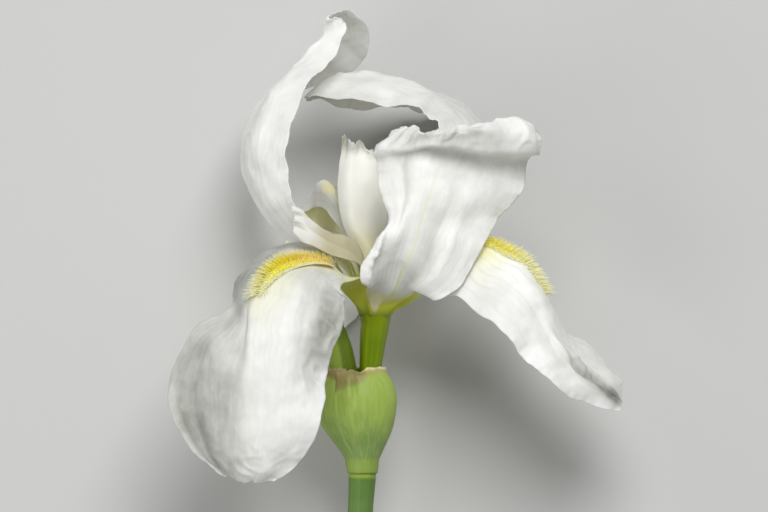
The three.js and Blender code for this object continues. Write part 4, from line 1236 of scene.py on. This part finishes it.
def beard_ridge(place, height):
    """Points and faces of the low closed ridge that the hairs stand on, and its marks along and tip."""
    u, v = grid(*RIDGE_STEPS)
    off = 2 * v - 1
    sideways = off * beard_half_width(u)
    tapered = np.minimum(fade(u, -0.1, 0.3), fade(u, 1.1, 0.8))
    high = place(u, sideways, BEARD_CLEARANCE + RIDGE_RIM + height * (1 - off**2) * tapered)
    low = place(u, sideways, u * 0 + BEARD_CLEARANCE)
    edge = 1.5 * fade(np.abs(off), 0.5, 1.0)
    points = np.concatenate([high, low]).reshape(-1, 3)
    return points, sheet_faces(*u.shape), np.tile(u.ravel(), 2), np.tile(edge.ravel(), 2)


class IRIS_OT_beards(bpy.types.Operator):
    """Add the beards, combs of hairs on a low ridge along the middle of each fall"""

    bl_idname = "iris.beards"
    bl_label = "Add Beards"

    def execute(self, context):
        settings = context.scene.iris_beards
        for side, petal in FALLS.items():
            place = beard_place(petal)
            beard = petal["beard"]
            roll = np.random.default_rng(petal["seed"])
            combs, combs_along = comb_hairs(place, beard, settings, roll)
            sides, sides_along = side_hairs(place, beard, settings, roll)
            hairs = np.concatenate([combs, sides])
            hairs_along = np.repeat(np.concatenate([combs_along, sides_along]), HAIR_POINTS)
            comb_tips = over_hairs(len(combs), 0, 1)
            side_tips = over_hairs(len(sides), 0.8, 2)
            ridge, faces, ridge_along, ridge_tips = beard_ridge(place, beard["ridge"])
            faces = faces + (hair_faces(len(hairs)) + len(ridge)).tolist()
            marks = {
                "along": np.concatenate([ridge_along, hairs_along]),
                "tip": np.concatenate([ridge_tips, comb_tips, side_tips]),
            }
            points = laid_down(np.concatenate([ridge, hairs.reshape(-1, 3)]))
            material = hair_material(f"{side} beard", settings, beard)
            add_piece(f"{side}_beard", f"beard_{side}", points, faces, marks, material)
        return {"FINISHED"}


# Style arms and stamens

STYLE_STEPS = (100, 56)
STYLE_THICKNESS = 0.7
STYLE_THINNING = 0.42
# Cuts into a crest are (across, width, depth), and its folds stand as high as asked. The base's colour
# reaches up to one place along the arm; on the left arm it is a taupe painted shade over the cream.
STYLES = {
    "left": {
        "rows": STYLE_LEFT, "seed": 31, "base": "style_left_shade_color", "base_end": 0.6, "fold": 0.5,
        "cuts": [(0.36, 0.05, 0.05), (0.72, 0.04, 0.04)],
    },
    "right": {
        "rows": STYLE_RIGHT, "seed": 32, "base": "style_base_color", "base_end": 0.25, "fold": 0.6,
        "cuts": [(0.36, 0.05, 0.05), (0.72, 0.04, 0.04)],
    },
    "back": {
        "rows": STYLE_BACK, "seed": 33, "base": "style_base_color", "base_end": 0.22, "fold": 1.5,
        "cuts": [(0.86, 0.03, 0.05), (0.62, 0.05, 0.05), (0.35, 0.05, 0.08), (0.12, 0.04, 0.04)],
    },
}


class IRIS_OT_styles(bpy.types.Operator):
    """Add the three style arms with their toothed crests"""

    bl_idname = "iris.styles"
    bl_label = "Add Style Arms"

    def execute(self, context):
        settings = context.scene.iris_petals
        u, v = grid(*STYLE_STEPS)
        off = np.abs(2 * v - 1)
        thickness = STYLE_THICKNESS - STYLE_THINNING * np.maximum(off, fade(u, 0.7, 1.0)) ** 2
        for side, arm in STYLES.items():
            seed = arm["seed"]
            toothed = 0.022 * np.abs(np.sin(29 * v + seed)) + 0.014 * np.abs(np.sin(61 * v))
            for cut in arm["cuts"]:
                toothed = toothed + hump(v, *cut)
            points = petal_surface(arm["rows"])(u * (1 - toothed * fade(u, 0.6, 1.0)), v)
            wave = np.sin(15 * v + 2 * u + seed)
            lift = arm["fold"] * fade(u, 0.72, 1.0) * wave
            lift = lift + 0.12 * ripples(points, 6, seed) * fade(u, 0.1, 0.3)
            lift = lift + 0.35 * off**4 * np.sin(9 * u + seed) * fade(u, 0.1, 0.4)
            points = points + normals(points) * lift[..., None]
            # The fold mark is 1 in the valleys of a crest's folds, where painted shade goes.
            marks = {"along": u, "across": v, "fold": fade(wave, 0.4, -0.6)}
            base_color = getattr(settings, arm["base"])
            material = style_material(f"{side} style arm", settings, base_color, arm["base_end"])
            name = f"{side}_style_arm"
            add_sheet(name, f"style_{side}", points, thickness, marks, material)
        return {"FINISHED"}


class IRIS_OT_stamens(bpy.types.Operator):
    """Add the stamens, each a thin filament with a long anther"""

    bl_idname = "iris.stamens"
    bl_label = "Add Stamens"

    def execute(self, context):
        material = stamen_material(context.scene.iris_petals)

        def furrowed(t, turn):
            return 1 + 0.14 * np.cos(2 * turn) * fade(t, 0.45, 0.55)

        for side, stations in STAMENS.items():
            add_stalk(f"{side}_stamen", f"stamen_{side}", stations, steps=90, sides=16,
                      shape=furrowed, material=material)
        return {"FINISHED"}


# Green pieces


class IRIS_OT_tube(bpy.types.Operator):
    """Add the ribbed flower tube"""

    bl_idname = "iris.tube"
    bl_label = "Add Flower Tube"

    def execute(self, context):
        greens = context.scene.iris_greens
        material = green_material(
            "flower tube", greens.tube_color, greens.tube_top_color, greens.tube_stripe_and_highlight_color,
            stripes=6.0, turning=(0.7, 1.0), roughness=0.3,
        )

        def ribbed(t, turn):
            return 1 + 0.03 * np.cos(6 * turn) + 0.006 * np.cos(18 * turn)

        # Painted highlight: a paler stripe down the tube's left side, where the light falls.
        def painted_left_highlight(t, turn):
            return hump(turn, 2.3, 0.3, 0.6)

        add_stalk("flower_tube", "perianth_tube", FLOWER_TUBE, steps=140, sides=72,
                  shape=ribbed, material=material, dome=0.7, pale=painted_left_highlight)
        return {"FINISHED"}


# Where the bud's keel is, as a turn round its axis in radians
KEEL_TURN = 1.5


class IRIS_OT_bud(bpy.types.Operator):
    """Add the side bud with its keel"""

    bl_idname = "iris.bud"
    bl_label = "Add Side Bud"

    def execute(self, context):
        greens = context.scene.iris_greens
        material = green_material(
            "side bud", greens.bud_color, greens.bud_tip_color, greens.bud_stripe_and_lit_side_color,
            stripes=14.0, turning=(0.6, 1.0), roughness=0.4, share=0.12,
        )

        def keeled(t, turn):
            keel = hump(turn, KEEL_TURN, 0.18, 0.12) * fade(t, 0.2, 0.45)
            furrow = 0.02 * np.cos(3 * turn + 5 * t)
            return 1 + keel + furrow

        # Painted highlight: the bud's side beyond its keel is drawn lighter, as if lit, while the other
        # side stays dark.
        def painted_lit_side(t, turn):
            return 0.85 * fade(turn, KEEL_TURN, KEEL_TURN + 0.15) * fade(turn, 3.6, 3.0)

        add_stalk("bud", "side_bud", SIDE_BUD, steps=150, sides=64, shape=keeled,
                  material=material, pale=painted_lit_side)
        return {"FINISHED"}


# How far the spathe hangs down over the stem's joint, and how far out from it. Each valve is thinner
# there and at its rim.
SKIRT = (2.6, 0.2)
VALVE_THICKNESS = 0.7
VALVE_THINNING = 0.45
# The turns round the spathe that each valve covers, in degrees
OUTER_TURNS = (123, -140)
INNER_TURNS = (265, 108)
OUTER_STEPS = (110, 130)
INNER_STEPS = (110, 80)
# How far up the spathe's outline each rim reaches, how much lower the outer one is at its sides or how
# much higher the inner one is in its lobe, and how deep each is worn
OUTER_RIM = (0.885, 0.1, 0.012)
INNER_RIM = (0.88, 0.06, 0.02)
# The outer rim's notch, as (across, width, depth), with a fold beside it
NOTCH = (0.163, 0.035, 0.07)
NOTCH_FOLDS = [(0.74, 0.115, 0.14, 0.016, -0.8), (0.7, 0.08, 0.18, 0.024, 0.45)]
# Part of the inner valve is tucked in this deep, in millimetres, so that the outer one fits over it.
TUCK = 1.4


def valve_points(turns, inset, rim, u, v):
    """Points of a strip of the spathe's outline, from one turn to another in degrees, with a skirt that
    hangs over the stem's joint."""
    turn = np.radians(turns[0] + (turns[1] - turns[0]) * v)
    height, centre, half_width, half_depth = np.moveaxis(smooth(SPATHE, u * rim), -1, 0)
    hanging = fade(u, 0.06, 0.0)
    height = height - SKIRT[0] * hanging
    inset = inset - SKIRT[1] * hanging
    return np.stack([centre + (half_width - inset) * np.cos(turn), height,
                     (half_depth - inset) * np.sin(turn)], -1)


def valve_thickness(u):
    thinner = fade(u, 0.75, 1.0) + fade(u, 0.1, 0.0)
    return VALVE_THICKNESS - VALVE_THINNING * thinner


def add_outer_valve(greens):
    u, v = grid(*OUTER_STEPS)
    rim, lower, wear = OUTER_RIM
    off = np.abs(2 * v - 1)
    worn = wear * np.abs(np.sin(21 * v + 2 * np.sin(5 * v))) * u**6
    outline = rim - lower * off**6 - worn - hump(v, *NOTCH) * u**6
    points = valve_points(OUTER_TURNS, 0, outline, u, v)
    lift = sum(bump(u, v, *fold) for fold in NOTCH_FOLDS)
    lift = lift + 0.4 * fade(u, 0.82, 1.0) * ripples(points, 4, 41) + 0.1 * ripples(points, 8, 42)
    points = points - normals(points) * lift[..., None]
    margin = fade(off, 0.84, 0.98)
    thin = np.minimum(valve_thickness(u), VALVE_THICKNESS - VALVE_THINNING * margin)
    material = bract_material("outer valve", greens, band=(0.87, 0.97), patch=(0.92, 0.06, 0.18, 0.16))
    marks = {"along": u, "across": v}
    add_sheet("outer_valve", "spathe_outer", points, thin, marks, material)


def add_inner_valve(greens):
    u, v = grid(*INNER_STEPS)
    rim, higher, wear = INNER_RIM
    worn = wear * np.abs(np.sin(23 * v + 2 * np.sin(7 * v))) * u**6
    outline = rim + higher * np.sin(np.pi * np.minimum(1, 3 * v)) ** 2 - worn
    tucked = TUCK * (1 - fade(v, 0.26, 0.34) + fade(v, 0.9, 1.0))
    points = valve_points(INNER_TURNS, tucked, outline, u, v)
    lift = 0.25 * fade(u, 0.8, 1.0) * ripples(points, 4, 43) + 0.08 * ripples(points, 8, 44)
    points = points + normals(points) * lift[..., None]
    material = bract_material("inner valve", greens, band=(0.84, 0.95), patch=(0.93, 0.9, 0.14, 0.2))
    marks = {"along": u, "across": v}
    add_sheet("inner_valve", "spathe_inner", points, valve_thickness(u), marks, material)


class IRIS_OT_spathe(bpy.types.Operator):
    """Add the two valves of the spathe, with their papery rims"""

    bl_idname = "iris.spathe"
    bl_label = "Add Spathe"

    def execute(self, context):
        add_outer_valve(context.scene.iris_greens)
        add_inner_valve(context.scene.iris_greens)
        return {"FINISHED"}


class IRIS_OT_stem(bpy.types.Operator):
    """Add the stem with the ring of its joint"""

    bl_idname = "iris.stem"
    bl_label = "Add Stem"

    def execute(self, context):
        greens = context.scene.iris_greens
        material = green_material(
            "stem", greens.node_color, greens.stem_color, greens.stem_stripe_color,
            stripes=9.0, turning=(0.28, 0.36), roughness=0.4,
        )

        def grooved(t, turn):
            return 1 + 0.008 * np.cos(9 * turn) + 0.004 * np.cos(23 * turn + 3 * t)

        add_stalk("stem_shaft", "stem", STEM, steps=170, sides=64, shape=grooved,
                  material=material, dome=0.04)
        return {"FINISHED"}


# Stage


# Softboxes as (position, side, setting of the power) and where they shine, in metres
SOFTBOXES = {
    "key_light": ((0.16, 0.36, 0.9), 0.5, "key_power"),
    "fill_light": ((-0.6, 0.25, 0.65), 0.55, "fill_power"),
    "low_light": ((-0.5, -0.45, 0.55), 0.5, "low_power"),
}
LIT_POINT = (0, 0, 0.04)
FLOOR_REACH = 6.0
# Middle of the picture, in the flower's own frame
VIEW_MIDDLE = (3, 13.2)


def add_softbox(name, position, side, power):
    light = bpy.data.lights.new(name, "AREA")
    light.shape = "SQUARE"
    light.size = side
    light.energy = power
    lamp = bpy.data.objects.new(name, light)
    lamp.location = position
    lamp.rotation_euler = (Vector(LIT_POINT) - Vector(position)).to_track_quat("-Z", "Y").to_euler()
    bpy.context.scene.collection.objects.link(lamp)


def add_floor(color):
    corners = [(x * FLOOR_REACH, y * FLOOR_REACH, 0) for x, y in [(-1, -1), (1, -1), (1, 1), (-1, 1)]]
    mesh = bpy.data.meshes.new("floor")
    mesh.from_pydata(corners, [], [(0, 1, 2, 3)])
    floor = bpy.data.objects.new("floor", mesh)
    bpy.context.scene.collection.objects.link(floor)
    material, _, shader = new_material("floor")
    shader.inputs["Base Color"].default_value = color_of(color)
    shader.inputs["Roughness"].default_value = 0.8
    mesh.materials.append(material)


def add_camera(settings):
    """Camera that looks straight down on the flower's own frame."""
    lens = bpy.data.cameras.new("camera")
    lens.sensor_width = 36
    lens.lens = lens.sensor_width * settings.camera_distance / settings.view_width
    lens.clip_end = 50
    camera = bpy.data.objects.new("camera", lens)
    stand = Vector((*VIEW_MIDDLE, settings.camera_distance / MM)) * MM
    camera.matrix_world = LAID @ Matrix.Translation(stand)
    bpy.context.scene.collection.objects.link(camera)
    bpy.context.scene.camera = camera


class IRIS_OT_stage(bpy.types.Operator):
    """Add the pale floor, the soft lights and the camera that looks down on the flower"""

    bl_idname = "iris.stage"
    bl_label = "Add Stage"

    def execute(self, context):
        scene = context.scene
        settings = scene.iris_stage
        add_floor(settings.floor_color)
        for name, (position, side, power) in SOFTBOXES.items():
            add_softbox(name, position, side, getattr(settings, power))
        world = bpy.data.worlds.new("room")
        world.use_nodes = True
        sky = world.node_tree.nodes["Background"]
        sky.inputs["Color"].default_value = (1, 1, 1, 1)
        sky.inputs["Strength"].default_value = settings.sky_strength
        scene.world = world
        scene.view_settings.view_transform = "Standard"
        add_camera(settings)
        return {"FINISHED"}


# Panel and registration


class IRIS_PT_panel(bpy.types.Panel):
    """Settings and buttons of the iris"""

    bl_idname = "IRIS_PT_panel"
    bl_label = "Bearded Iris"
    bl_space_type = "VIEW_3D"
    bl_region_type = "UI"
    bl_category = "Iris"

    def draw(self, context):
        layout = self.layout
        for name in SETTINGS:
            box = layout.box()
            group = getattr(context.scene, name)
            for key in group.__annotations__:
                box.prop(group, key)
        for operator in OPERATORS:
            layout.operator(operator.bl_idname)


SETTINGS = {
    "iris_petals": IrisPetalSettings,
    "iris_beards": IrisBeardSettings,
    "iris_greens": IrisGreenSettings,
    "iris_stage": IrisStageSettings,
}
OPERATORS = [
    IRIS_OT_stage, IRIS_OT_falls, IRIS_OT_standards, IRIS_OT_beards, IRIS_OT_styles, IRIS_OT_stamens,
    IRIS_OT_tube, IRIS_OT_bud, IRIS_OT_spathe, IRIS_OT_stem,
]


def register():
    for group in SETTINGS.values():
        bpy.utils.register_class(group)
    for operator in OPERATORS:
        bpy.utils.register_class(operator)
    bpy.utils.register_class(IRIS_PT_panel)
    for name, group in SETTINGS.items():
        setattr(bpy.types.Scene, name, bpy.props.PointerProperty(type=group))


def unregister():
    for name in SETTINGS:
        delattr(bpy.types.Scene, name)
    bpy.utils.unregister_class(IRIS_PT_panel)
    for operator in reversed(OPERATORS):
        bpy.utils.unregister_class(operator)
    for group in reversed(SETTINGS.values()):
        bpy.utils.unregister_class(group)


def main():
    register()
    bpy.ops.iris.stage()
    bpy.ops.iris.falls()
    bpy.ops.iris.standards()
    bpy.ops.iris.beards()
    bpy.ops.iris.styles()
    bpy.ops.iris.stamens()
    bpy.ops.iris.tube()
    bpy.ops.iris.bud()
    bpy.ops.iris.spathe()
    bpy.ops.iris.stem()


if __name__ == "__main__":
    main()
